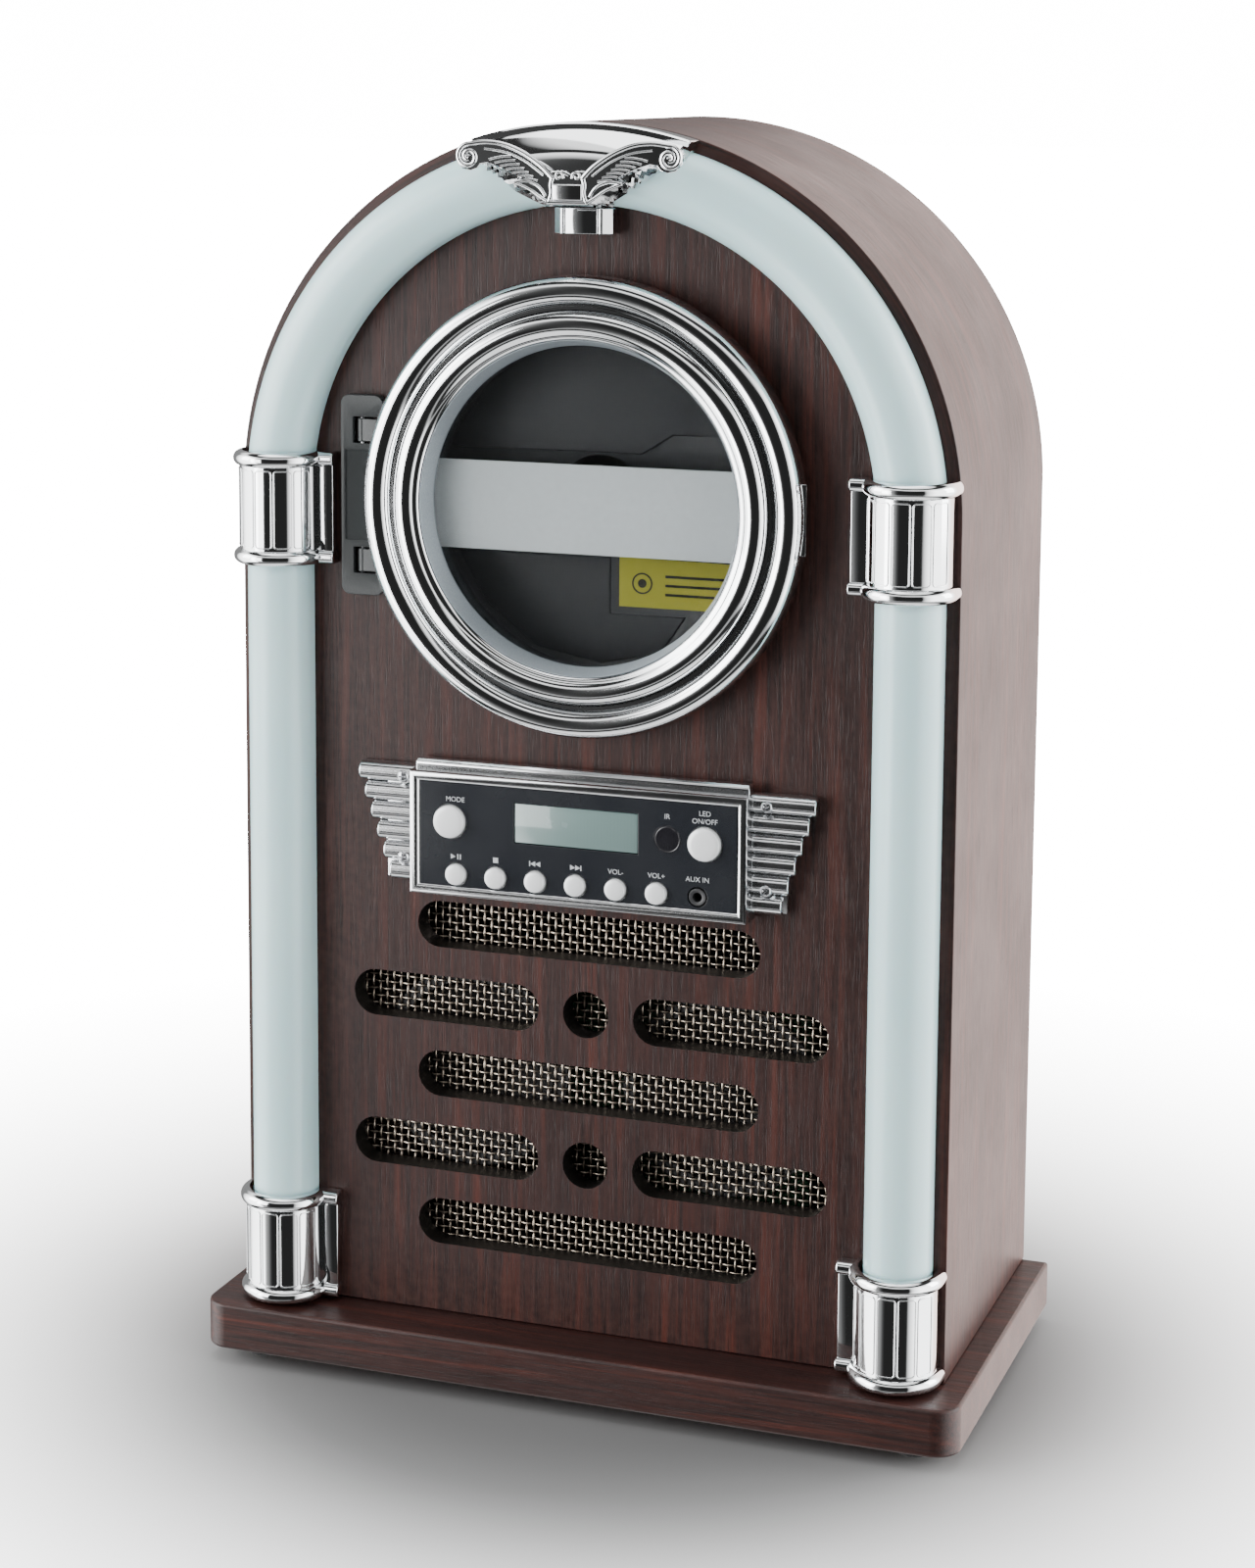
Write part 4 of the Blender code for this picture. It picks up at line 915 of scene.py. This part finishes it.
tray_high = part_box("bay_tray")[1]
BAY_INNER, BAY_WALL = 0.064, 0.0018
bay_mouth, bay_floor, bay_back = FRONT + GAP, FRONT + 0.015, tray_high[1]
shelf = front_high[1] + GAP
bay_profile = [(BAY_INNER, bay_mouth), (BAY_INNER + BAY_WALL, bay_mouth), (BAY_INNER + BAY_WALL, shelf),
               (tray_high[0], shelf), (tray_high[0], shelf + 0.002), (BAY_INNER + BAY_WALL, shelf + 0.002),
               (BAY_INNER + BAY_WALL, bay_back), (0.017, bay_back), (0.017, bay_floor + 0.0004),
               (0.0174, bay_floor), (0.0600, bay_floor), (0.0630, bay_floor - 0.0010), (BAY_INNER, bay_floor - 0.003)]
tray = turned("bay_dish", bay_profile, door, "Y", 96)
cut(tray, slab("lens_cutter", (0.0100, bay_floor - 0.006, ARCH_Z - 0.0045),
               (0.0625, bay_back + 0.006, ARCH_Z + 0.0045)))
raised = [(-0.060, 0.018), (-0.022, 0.018), (-0.004, 0.018), (0.016, 0.018), (0.028, 0.0255), (0.0555, 0.0255),
          (0.0500, 0.0360), (0.0400, 0.0470), (0.0200, 0.0585), (0.0000, 0.0615), (-0.0250, 0.0565),
          (-0.0450, 0.0425), (-0.0560, 0.0270)]
pad = prism("dish_pad", [(x, ARCH_Z + z) for x, z in raised], "Y", bay_floor - 0.0010, bay_floor + 0.0005)
softened(pad, 0.0005, 3, 40)
lower_pad = prism("dish_lower_pad", [(x * 0.98, ARCH_Z - z) for x, z in
                                     ((-0.058, 0.021), (0.004, 0.021), (0.004, 0.0420), (0.0340, 0.0420),
                                      (0.0240, 0.0560), (0.000, 0.0610), (-0.026, 0.0560), (-0.047, 0.0400))],
                  "Y", bay_floor - 0.0006, bay_floor + 0.0005)
softened(lower_pad, 0.0004, 3, 40)
joined(tray, pad, lower_pad)
BAY_BLACK = moulded("bay_black", (0.036, 0.039, 0.044), 0.42, worn=(0.06, 0.06, 0.065), grain=2200.0)
fitted(tray, BAY_BLACK, "cabinet", "black_plastic", "bay_tray")

hub_profile = [(0, 0.0050), (0.0052, 0.0050), (0.0064, 0.0054), (0.0073, 0.0064), (0.0074, 0.0088),
               (0.0132, 0.0088), (0.0140, 0.0092), (0.0140, 0.0108), (0.0050, 0.0112), (0.0050, 0.0150),
               (0.0015, 0.0150), (0.0015, 0.0240), (0, 0.0240)]
hub = turned("turntable_hub_moulded", [(r, FRONT + y) for r, y in hub_profile], door, "Y", 64)
for number in range(3):
    grip = slab("grip_slot", (-0.0019, FRONT + 0.004, 0.0050), (0.0019, FRONT + 0.0086, 0.0090))
    grip.data.transform(Matrix.Translation(door) @ Matrix.Rotation(math.radians(120 * number), 4, "Y"))
    cut(hub, grip)
softened(hub, 0.0002, 2, 50)
GREY_BLACK = moulded("grey_black_moulding", (0.030, 0.031, 0.033), 0.4, worn=(0.1, 0.1, 0.1))
fitted(hub, GREY_BLACK, "turntable", "black_plastic", "turntable_hub")


def card_material(name, colour, fibre=0.06):
    made, tree, shader, place = new_material(name, Specular_IOR_Level=0.3)
    wear = placed(tree, WEAR, place, 420.0)
    shade = tuple(value * (1 - fibre) for value in colour)
    tone = mixed(tree, wear.outputs["Dust"], colour, shade)
    tone = mixed(tree, maths(tree, "MULTIPLY", wear.outputs["Smear"], 0.4), tone, shade)
    wire(tree, (tone, shader["Base Color"]),
         (band(tree, wear.outputs["Dust"], 0, 1, 0.62, 0.82), shader["Roughness"]),
         (bumped(tree, wear.outputs["Dust"], 0.3, 0.00006), shader["Normal"]))
    return made


strip_low, strip_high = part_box("transport_strip")
strip = slab("packing_strip", strip_low, strip_high)
softened(strip, 0.00015, 1, 50)
fitted(strip, card_material("white_card", (0.84, 0.90, 0.92)), "cabinet", "white_card", "transport_strip")

label_low, label_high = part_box("yellow_label")
label_outline = [(0.0075, -0.0390), (0.0500, -0.0390), *arc(0.0634, -37, -19.6, 6), (0.0075, -0.0205)]
label = prism("yellow_paper", [(x, ARCH_Z + z) for x, z in label_outline], "Y", label_low[1], label_high[1], 0)
fitted(label, card_material("yellow_paper", (0.56, 0.53, 0.075)), "cabinet", "yellow_label", "yellow_label")


def ink_material(name, colour):
    made, tree, shader, place = new_material(name, Specular_IOR_Level=0.3)
    wear = placed(tree, WEAR, place, 3500.0)
    tone = mixed(tree, maths(tree, "MULTIPLY", wear.outputs["Dust"], 0.3), colour,
                 tuple(0.6 * value + 0.02 for value in colour))
    wire(tree, (tone, shader["Base Color"]),
         (band(tree, wear.outputs["Smear"], 0, 1, 0.4, 0.55), shader["Roughness"]))
    return made


MARK_X, MARK_Z, MARK_LINE = 0.0165, ARCH_Z - 0.0300, 0.0034
ink_face, ink_back = label_low[1] - 0.00012, label_low[1] - 0.00002
marks = [turned("ring_mark", [(0.0034, ink_face), (0.0040, ink_face), (0.0040, ink_back), (0.0034, ink_back)],
                (MARK_X, 0, MARK_Z), "Y", 32, 0),
         prism("dot_mark", arc(0.0017, 0, 330, 11, (MARK_X, MARK_Z)), "Y", ink_face, ink_back, 0)]
for line, reach in enumerate((0.0250, 0.0225, 0.0190)):
    z = MARK_Z + 0.0030 - line * MARK_LINE
    marks.append(slab("line_mark", (0.0255, ink_face, z - 0.0005), (0.0255 + reach, ink_back, z + 0.0005)))
label_marks = joined(*marks)
label_marks.name = "label_marks"
fitted(label_marks, ink_material("label_ink", (0.03, 0.03, 0.02)), "cabinet", "yellow_label")

# The control panel: a chrome frame with a rounded bar along its top and ribbed wings, held by four screws
# over a gloss black face. Caps stand through the face, and a small board behind carries screen and jack.

face_low, face_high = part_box("panel_face")
PANEL_Z = face_low[2] / 2 + face_high[2] / 2
FRAME_X, FRAME_Z = 0.0662, 0.0235
SCREW_X, SCREW_ZS = 0.0715, (0.2357, 0.2045)
SCREEN_Z = PANEL_Z + 0.0065
LARGE_Z, SMALL_Z, KEY_PITCH = PANEL_Z + 0.0050, PANEL_Z - 0.0150, 0.0158
JACK_X = 3 * KEY_PITCH
WING_X, RIB_PITCH, RIB_STEP = 0.0655, 0.0075, 0.0025


def panel_frame():
    """The frame is one section carried round its four corners, each side cut to a mitre."""
    section = [(0.0, GAP), (0.0, 0.0120), (0.0003, 0.0127), (0.0010, 0.0130), (0.0024, 0.0130), (0.0031, 0.0127),
               (0.0037, 0.0119), (0.0037, GAP)]
    piece = drawn("panel_frame_chrome", [(FRAME_X - u, FRONT - out, PANEL_Z + FRAME_Z - u) for u, out in section])
    bpy.ops.mesh.delete(type="ONLY_FACE")
    bpy.ops.mesh.select_all(action="SELECT")
    for flip in ((-1, 1, 1), (1, 1, -1), (-1, 1, 1), (1, 1, -1)):
        extrude()
        bpy.ops.transform.resize(value=flip, center_override=(0, 0, PANEL_Z))
    closed(piece, 30)
    edge, crest = PANEL_Z + FRAME_Z - 0.001, PANEL_Z + FRAME_Z + 0.0034
    section = [(0.0015, edge), (0.0015, crest - 0.0010), (0.0026, crest), (0.0068, crest), (0.0080, crest - 0.0010),
               (0.0080, edge)]
    bar = prism("top_bar", [(FRONT - out, z) for out, z in section], "X", -WING_X, WING_X)
    parts = [softened(bar, 0.0006, 3, 40)]
    for sign in (-1, 1):
        for rib in range(6):
            tip = 0.0900 - rib * RIB_STEP
            middle = PANEL_Z + 0.0200 - rib * RIB_PITCH
            crown = [(FRONT - y, z) for z, y in arc(0.0037, 0, 180, 14, (middle, 0.0028))]
            low, high = sorted((sign * WING_X, sign * tip))
            section = [(FRONT - GAP, middle + 0.0037), *crown, (FRONT - GAP, middle - 0.0037)]
            parts.append(softened(prism("rib", section, "X", low, high), 0.0009, 3, 60))
        low, high = sorted((sign * WING_X, sign * 0.0790))
        web = prism("web", [(low, PANEL_Z - 0.0205), (high, PANEL_Z - 0.0205), (high, PANEL_Z + 0.0230),
                            (low, PANEL_Z + 0.0230)], "Y", FRONT - 0.0034, FRONT - GAP, 0)
        parts.append(softened(web, 0.0004, 2, 50))
    joined(piece, *parts)
    for sign in (-1, 1):
        for z in SCREW_ZS:
            boss = turned("boss", [(0.0032, FRONT - 0.0004), (0.0032, FRONT - 0.0046), (0.0030, FRONT - 0.0050),
                                   (0, FRONT - 0.0050), (0, FRONT - 0.0004)], (sign * SCREW_X, 0, z), "Y", 28)
            joined(piece, boss)
    return piece


fitted(panel_frame(), chrome_material("panel_chrome", (0.72, 0.73, 0.74), 0.13), "cabinet", "chrome", "panel_frame")

for side, sign in (("left", -1), ("right", 1)):
    for level, z in zip(("upper", "lower"), SCREW_ZS):
        name = f"panel_screw_{level}_{side}"
        low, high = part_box(name)
        profile = [(0, low[1]), (0.0009, low[1] + 0.00005), (0.0017, low[1] + 0.0003), (0.0023, low[1] + 0.0009),
                   (0.0024, low[1] + 0.0014), (0.0024, low[1] + 0.0022), (0.0012, low[1] + 0.0022),
                   (0.0012, high[1]), (0, high[1])]
        screw = turned(f"{name}_pan", profile, (sign * SCREW_X, 0, z), "Y", 28)
        for turn in (25, 115):
            blade = slab("blade", (-0.0014, low[1] - 0.001, -0.00028), (0.0014, low[1] + 0.0009, 0.00028))
            blade.data.transform(Matrix.Translation((sign * SCREW_X, 0, z))
                                 @ Matrix.Rotation(math.radians(turn + 31 * sign), 4, "Y"))
            cut(screw, blade)
        fitted(screw, STEEL, "cabinet", "steel", name)

face = slab("panel_face_gloss", face_low, face_high)
cut(face, slab("screen_cutter", (-0.0244, face_low[1] - 0.01, SCREEN_Z - 0.0077),
               (0.0244, face_high[1] + 0.01, SCREEN_Z + 0.0077)))
KEYS = [("power_button", -0.050, LARGE_Z, 0.0062), ("lamp_button", 0.050, LARGE_Z, 0.0062)]
KEYS += [(name, (number - 3) * KEY_PITCH, SMALL_Z, 0.0040) for number, name in enumerate(
    ("play_button", "stop_button", "previous_button", "next_button", "volume_down_button", "volume_up_button"))]
for name, x, z, radius in KEYS + [("jack", JACK_X, SMALL_Z, 0.0033)]:
    hole = arc(radius + 0.0005, 0, 350, 35, (x, z))
    cut(face, prism("key_cutter", hole, "Y", face_low[1] - 0.01, face_high[1] + 0.01))
flattened(softened(face, 0.0002, 2, 50))


def gloss_black():
    made, tree, shader, place = new_material("gloss_black_print", Coat_Weight=0.6, Coat_Roughness=0.05)
    wear = placed(tree, WEAR, place, 1800.0)
    tone = mixed(tree, wear.outputs["Smear"], (0.0150, 0.0170, 0.021), (0.0210, 0.0230, 0.027))
    wire(tree, (tone, shader["Base Color"]),
         (band(tree, wear.outputs["Smear"], 0, 1, 0.10, 0.18), shader["Roughness"]),
         (bumped(tree, wear.outputs["Dust"], 0.05, 0.00003), shader["Normal"]))
    return made


fitted(face, gloss_black(), "cabinet", "gloss_black", "panel_face")


def screen_material():
    """A grey-green cell with the faint lines of its segments."""
    made, tree, shader, place = new_material("liquid_crystal", Coat_Weight=1.0, Coat_Roughness=0.03)
    wear = placed(tree, WEAR, place)
    lines = added(tree, "ShaderNodeTexWave", Scale=240.0, Distortion=0.0)
    tree.links.new(place, lines.inputs["Vector"])
    tone = mixed(tree, band(tree, lines.outputs["Fac"], 0.9, 1.0, 0.0, 0.25), (0.150, 0.225, 0.215),
                 (0.120, 0.185, 0.175))
    tone = mixed(tree, maths(tree, "MULTIPLY", wear.outputs["Smear"], 0.25), tone, (0.18, 0.26, 0.25))
    wire(tree, (tone, shader["Base Color"]),
         (band(tree, wear.outputs["Smear"], 0, 1, 0.18, 0.28), shader["Roughness"]))
    return made


screen_low, screen_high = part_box("lcd_module")
screen = softened(slab("screen_cell", screen_low, screen_high), 0.0003, 2, 50)
fitted(screen, screen_material(), "cabinet", "screen_glass", "lcd_module")

WHITE_INK = ink_material("white_ink", (0.50, 0.52, 0.54))


def lettering(text, x, z, size):
    deselect()
    bpy.ops.object.text_add(location=(0, 0, 0))
    line = bpy.context.object
    line.data.body = text
    line.data.size = size
    line.data.align_x = "CENTER"
    line.data.extrude = 0.00003
    line.data.resolution_u = 3
    bpy.ops.object.convert(target="MESH")
    line.data.transform(Matrix.Translation((x, face_low[1] - 0.00004, z)) @ Matrix.Rotation(math.pi / 2, 4, "X"))
    return line


def flat_mark(points):
    return prism("mark", points, "Y", face_low[1] - 0.00007, face_low[1] - 0.00001, 0)


def bar_mark(x, z, width, height):
    return flat_mark([(x, z), (x + width, z), (x + width, z + height), (x, z + height)])


key_x = {name: x for name, x, z, radius in KEYS}
WINDOW_X, WINDOW_Z = 0.0356, PANEL_Z + 0.0056
mark_z = SMALL_Z + 0.0057
print_marks = [lettering(text, x, z, 0.0027) for text, x, z in (
    ("MODE", -0.0478, LARGE_Z + 0.0077), ("LED", 0.0500, LARGE_Z + 0.0104), ("ON/OFF", 0.0500, LARGE_Z + 0.0075),
    ("IR", WINDOW_X, PANEL_Z + 0.0132), ("VOL-", key_x["volume_down_button"], mark_z),
    ("VOL+", key_x["volume_up_button"], mark_z), ("AUX IN", JACK_X, mark_z))]
x = key_x["play_button"]
print_marks += [flat_mark([(x - 0.0022, mark_z), (x - 0.0003, mark_z + 0.0010), (x - 0.0022, mark_z + 0.0020)]),
                bar_mark(x + 0.0004, mark_z, 0.0005, 0.0020), bar_mark(x + 0.0014, mark_z, 0.0005, 0.0020),
                bar_mark(key_x["stop_button"] - 0.0010, mark_z, 0.0020, 0.0020)]
for name, sign in (("previous_button", -1), ("next_button", 1)):
    x = key_x[name]
    for offset in (-0.0020, 0.0):
        tip, tail = x + sign * (offset + 0.0020), x + sign * offset
        corners = [(tail, mark_z), (tip, mark_z + 0.0010), (tail, mark_z + 0.0020)]
        print_marks.append(flat_mark(corners if sign > 0 else corners[::-1]))
    print_marks.append(bar_mark(x + (0.0020 if sign > 0 else -0.0024), mark_z, 0.0004, 0.0020))
printing = joined(*print_marks)
printing.name = "panel_printing"
fitted(printing, WHITE_INK, "cabinet", "gloss_black")

window_profile = [(0, 0.0002), (0.0044, 0.0002), (0.0046, 0.00008), (0.0048, 0.0002), (0.0051, 0.0002),
                  (0.0052, 0.00002), (0, 0.00002)]
window = turned("infrared_window", [(r, face_low[1] - out) for r, out in window_profile],
                (WINDOW_X, 0, WINDOW_Z), "Y", 48, 20)
holes = [prism("dot", arc(0.00036, 0, 300, 5, dot), "Y", face_low[1] - 0.00045, face_low[1] - 0.00022, 0)
         for dot in arc(0.0029, 0, 320, 8, (WINDOW_X, WINDOW_Z))]
joined(window, *holes)
fitted(window, moulded("infrared_filter", (0.010, 0.010, 0.013), 0.2, coat=0.5, worn=(0.05, 0.05, 0.06)),
       "cabinet", "gloss_black")

CAPS = moulded("satin_caps", (0.90, 0.92, 0.93), 0.34, coat=0.25, grain=3000.0, depth=0.00003,
               worn=(0.74, 0.76, 0.78), Metallic=0.15)
for name, x, z, radius in KEYS:
    low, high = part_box(name)
    dome = [(0, low[1]), (radius * 0.35, low[1] + 0.00003), (radius * 0.68, low[1] + 0.00012),
            (radius - 0.0005, low[1] + 0.0003), (radius - 0.00015, low[1] + 0.0006), (radius, low[1] + 0.0011),
            (radius, face_high[1] + GAP), (radius + 0.0009, face_high[1] + GAP),
            (radius + 0.0009, face_high[1] + 0.0010), (0.0018, face_high[1] + 0.0010), (0.0018, high[1]),
            (0, high[1])]
    cap = turned(f"{name}_cap", dome, (x, 0, z), "Y", 40)
    fitted(cap, CAPS, name, "button_plastic", name)

jack_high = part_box("aux_jack")[1]
jack = turned("aux_jack_barrel", [(0.0018, face_low[1] - 0.0001), (0.0021, face_low[1] - 0.0003),
                                  (0.0030, face_low[1] - 0.0003), (0.0032, face_low[1] - 0.0001),
                                  (0.0032, jack_high[1]), (0, jack_high[1]), (0, jack_high[1] - 0.0015),
                                  (0.0018, jack_high[1] - 0.0015)], (JACK_X, 0, SMALL_Z), "Y", 40)
fitted(jack, GREY_BLACK, "cabinet", "black_plastic", "aux_jack")

# The grille: a panel of plain-woven champagne wire behind the sound slots. Shade is painted into its colour,
# near black where a wire dips behind the one that crosses it.

mesh_low, mesh_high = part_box("grille_mesh")
WIRE_PITCH, WIRE_R, CRIMP = 0.0029, 0.00042, 0.00042
columns = int((mesh_high[0] - mesh_low[0] - 2 * WIRE_R) / WIRE_PITCH)
rows = int((mesh_high[2] - mesh_low[2] - 2 * WIRE_R) / WIRE_PITCH)
depth = (mesh_low[1] + mesh_high[1]) / 2
left = -columns * WIRE_PITCH / 2
bottom = (mesh_low[2] + mesh_high[2] - rows * WIRE_PITCH) / 2


def crimped_wires(along, crossings, place, side, count):
    """One five-sided wire, bent over and under at each crossing, then repeated at every other crossing."""
    deselect()
    turn = (0, math.pi / 2, 0) if along == "X" else (0, 0, 0)
    start = (place[0], depth + side * CRIMP, place[1])
    bpy.ops.mesh.primitive_circle_add(vertices=5, radius=WIRE_R, fill_type="NGON", location=start, rotation=turn)
    line = bpy.context.object
    line.name = "grille_wire"
    bpy.ops.object.transform_apply(location=True, rotation=True, scale=True)
    line.data.transform(Matrix.Translation(start) @ Matrix.Diagonal((1.0, 0.62, 1.0, 1.0))
                        @ Matrix.Translation(start).inverted())
    bpy.ops.object.mode_set(mode="EDIT")
    bpy.ops.mesh.select_all(action="SELECT")
    step = (WIRE_PITCH / 2, 0) if along == "X" else (0, WIRE_PITCH / 2)
    for number in range(2 * crossings):
        bend = -side * CRIMP * (1 if number % 4 < 2 else -1)
        extrude(step[0], bend, step[1])
    closed(line, 70)
    apart = (0, 0, 2 * WIRE_PITCH) if along == "X" else (2 * WIRE_PITCH, 0, 0)
    return finished(line, "ARRAY", count=count, use_relative_offset=False, use_constant_offset=True,
                    constant_offset_displace=apart)


grille = joined(
    crimped_wires("X", columns, (left, bottom), 1, rows // 2 + 1),
    crimped_wires("X", columns, (left, bottom + WIRE_PITCH), -1, (rows + 1) // 2),
    crimped_wires("Z", rows, (left, bottom), -1, columns // 2 + 1),
    crimped_wires("Z", rows, (left + WIRE_PITCH, bottom), 1, (columns + 1) // 2),
)
grille.name = "grille_weave"


def brass_wire():
    made, tree, shader, place = new_material("champagne_wire", Metallic=1.0)
    wear = placed(tree, WEAR, place, 1500.0)
    deep = tree.nodes.new("ShaderNodeSeparateXYZ")
    tree.links.new(place, deep.inputs[0])
    # Painted shade: the wire's colour goes near black where it lies behind the middle of the weave.
    painted_dip_shade = band(tree, deep.outputs["Y"], depth - 0.00045, depth + 0.00010)
    tone = mixed(tree, wear.outputs["Dust"], (0.72, 0.63, 0.52), (0.50, 0.42, 0.33))
    tone = mixed(tree, painted_dip_shade, tone, (0.050, 0.030, 0.024))
    wire(tree, (tone, shader["Base Color"]),
         (band(tree, wear.outputs["Dust"], 0, 1, 0.26, 0.42), shader["Roughness"]),
         (bumped(tree, wear.outputs["Dust"], 0.2, 0.00004), shader["Normal"]))
    return made


fitted(grille, brass_wire(), "cabinet", "mesh_wire", "grille_mesh")

# The back board: a black board with seven vent slots, let into the shell and held by six screws. The power
# inlet sits in a hole at its foot, with nothing plugged in.

back_low, back_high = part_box("back_panel")
back = prism("back_board", [(back_high[0], FOOT_Z + GAP), *arc(back_high[0], 0, 180, 72, (0, ARCH_Z)),
                            (-back_high[0], FOOT_Z + GAP)], "Y", back_low[1], back_high[1])
VENT_LONG, VENT_HALF, VENT_LOW_Z, VENT_PITCH = 0.045, 0.00225, 0.215, 0.011
back_through = (back_low[1] - 0.01, back_high[1] + 0.01)
for number in range(7):
    vent = slot_outline(-VENT_LONG, VENT_LONG, VENT_HALF, VENT_LOW_Z + number * VENT_PITCH, 6)
    cut(back, prism("vent_cutter", vent, "Y", *back_through))
inlet_low, inlet_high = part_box("dc_inlet")
inlet_x, inlet_z = (inlet_low[0] + inlet_high[0]) / 2, (inlet_low[2] + inlet_high[2]) / 2
cut(back, prism("inlet_cutter", arc(0.0063, 0, 345, 23, (inlet_x, inlet_z)), "Y", *back_through))
flattened(softened(back, 0.0004, 2, 50))
BACK_BLACK = moulded("back_board_black", (0.016, 0.016, 0.017), 0.6, grain=900.0, depth=0.00012)
fitted(back, BACK_BLACK, "cabinet", "black_plastic", "back_panel")
screws = []
y = back_high[1]
head = [(0, y + 0.0016), (0.0014, y + 0.0015), (0.0026, y + 0.0009), (0.0030, y + 0.0001), (0, y + 0.0001)]
for x, z in ((-0.122, 0.040), (0.122, 0.040), (-0.122, 0.200), (0.122, 0.200), (-0.086, 0.429), (0.086, 0.429)):
    screw = turned("back_screw", head, (x, 0, z), "Y", 24)
    for turn in (20, 110):
        blade = slab("blade", (-0.0017, y + 0.0008, -0.00035), (0.0017, y + 0.003, 0.00035))
        blade.data.transform(Matrix.Translation((x, 0, z)) @ Matrix.Rotation(math.radians(turn + 900 * x), 4, "Y"))
        cut(screw, blade)
    screws.append(screw)
back_screws = joined(*screws)
back_screws.name = "back_screws"
fitted(back_screws, STEEL, "cabinet", "steel")
inlet = [(0, inlet_high[1] - 0.0022), (0.0010, inlet_high[1] - 0.0022), (0.0010, inlet_high[1] - 0.0100),
         (0.0032, inlet_high[1] - 0.0100), (0.0032, inlet_high[1] - 0.0002), (0.0036, inlet_high[1]),
         (0.0072, inlet_high[1]), (0.0078, inlet_high[1] - 0.0004), (0.0078, back_high[1] + 0.0003),
         (0.0058, back_high[1] + 0.0003), (0.0058, inlet_low[1]), (0, inlet_low[1])]
socket = turned("power_inlet", inlet, (inlet_x, 0, inlet_z), "Y", 40)
fitted(socket, GREY_BLACK, "cabinet", "black_plastic", "dc_inlet")

# Inside the case: circuit boards, lamp strips, loudspeakers, and the disc player's sled, rod, gear, motors
# and chassis. These stay as the frame has them, and get their finishes here.


def board_material():
    made, tree, shader, place = new_material("green_board", Coat_Weight=0.4, Coat_Roughness=0.2)
    wear = placed(tree, WEAR, place)
    tracks = added(tree, "ShaderNodeTexBrick", Scale=160.0, Color1=(0.012, 0.075, 0.030, 1.0),
                   Color2=(0.016, 0.095, 0.040, 1.0), Mortar=(0.06, 0.20, 0.10, 1.0), Mortar_Size=0.03)
    swivel = added(tree, "ShaderNodeMapping", Rotation=(math.pi / 2, 0, 0))
    wire(tree, (place, swivel.inputs["Vector"]), (swivel.outputs[0], tracks.inputs["Vector"]),
         (tracks.outputs["Color"], shader["Base Color"]),
         (band(tree, wear.outputs["Smear"], 0, 1, 0.3, 0.45), shader["Roughness"]))
    return made


BOARD = board_material()
BASKET = moulded("black_lacquer", (0.010, 0.010, 0.011), 0.55, worn=(0.03, 0.03, 0.03))
CONE = card_material("paper_cone", (0.020, 0.019, 0.019), 0.4)
WHITE_GEAR = moulded("white_gear", (0.55, 0.56, 0.55), 0.4)
inside = {"main_board": BOARD, "control_board": BOARD, "led_strip_arch": BOARD, "led_strip_left": BOARD,
          "led_strip_right": BOARD, "speaker_basket_left": BASKET, "speaker_basket_right": BASKET,
          "speaker_cone_left": CONE, "speaker_cone_right": CONE, "laser_sled": GREY_BLACK, "guide_rod": STEEL,
          "sled_gear": WHITE_GEAR, "sled_motor": STEEL, "spindle_motor": STEEL, "deck_chassis": GREY_BLACK}
for name, material in inside.items():
    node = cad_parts[name]
    node.data.materials.clear()
    node.data.materials.append(material)
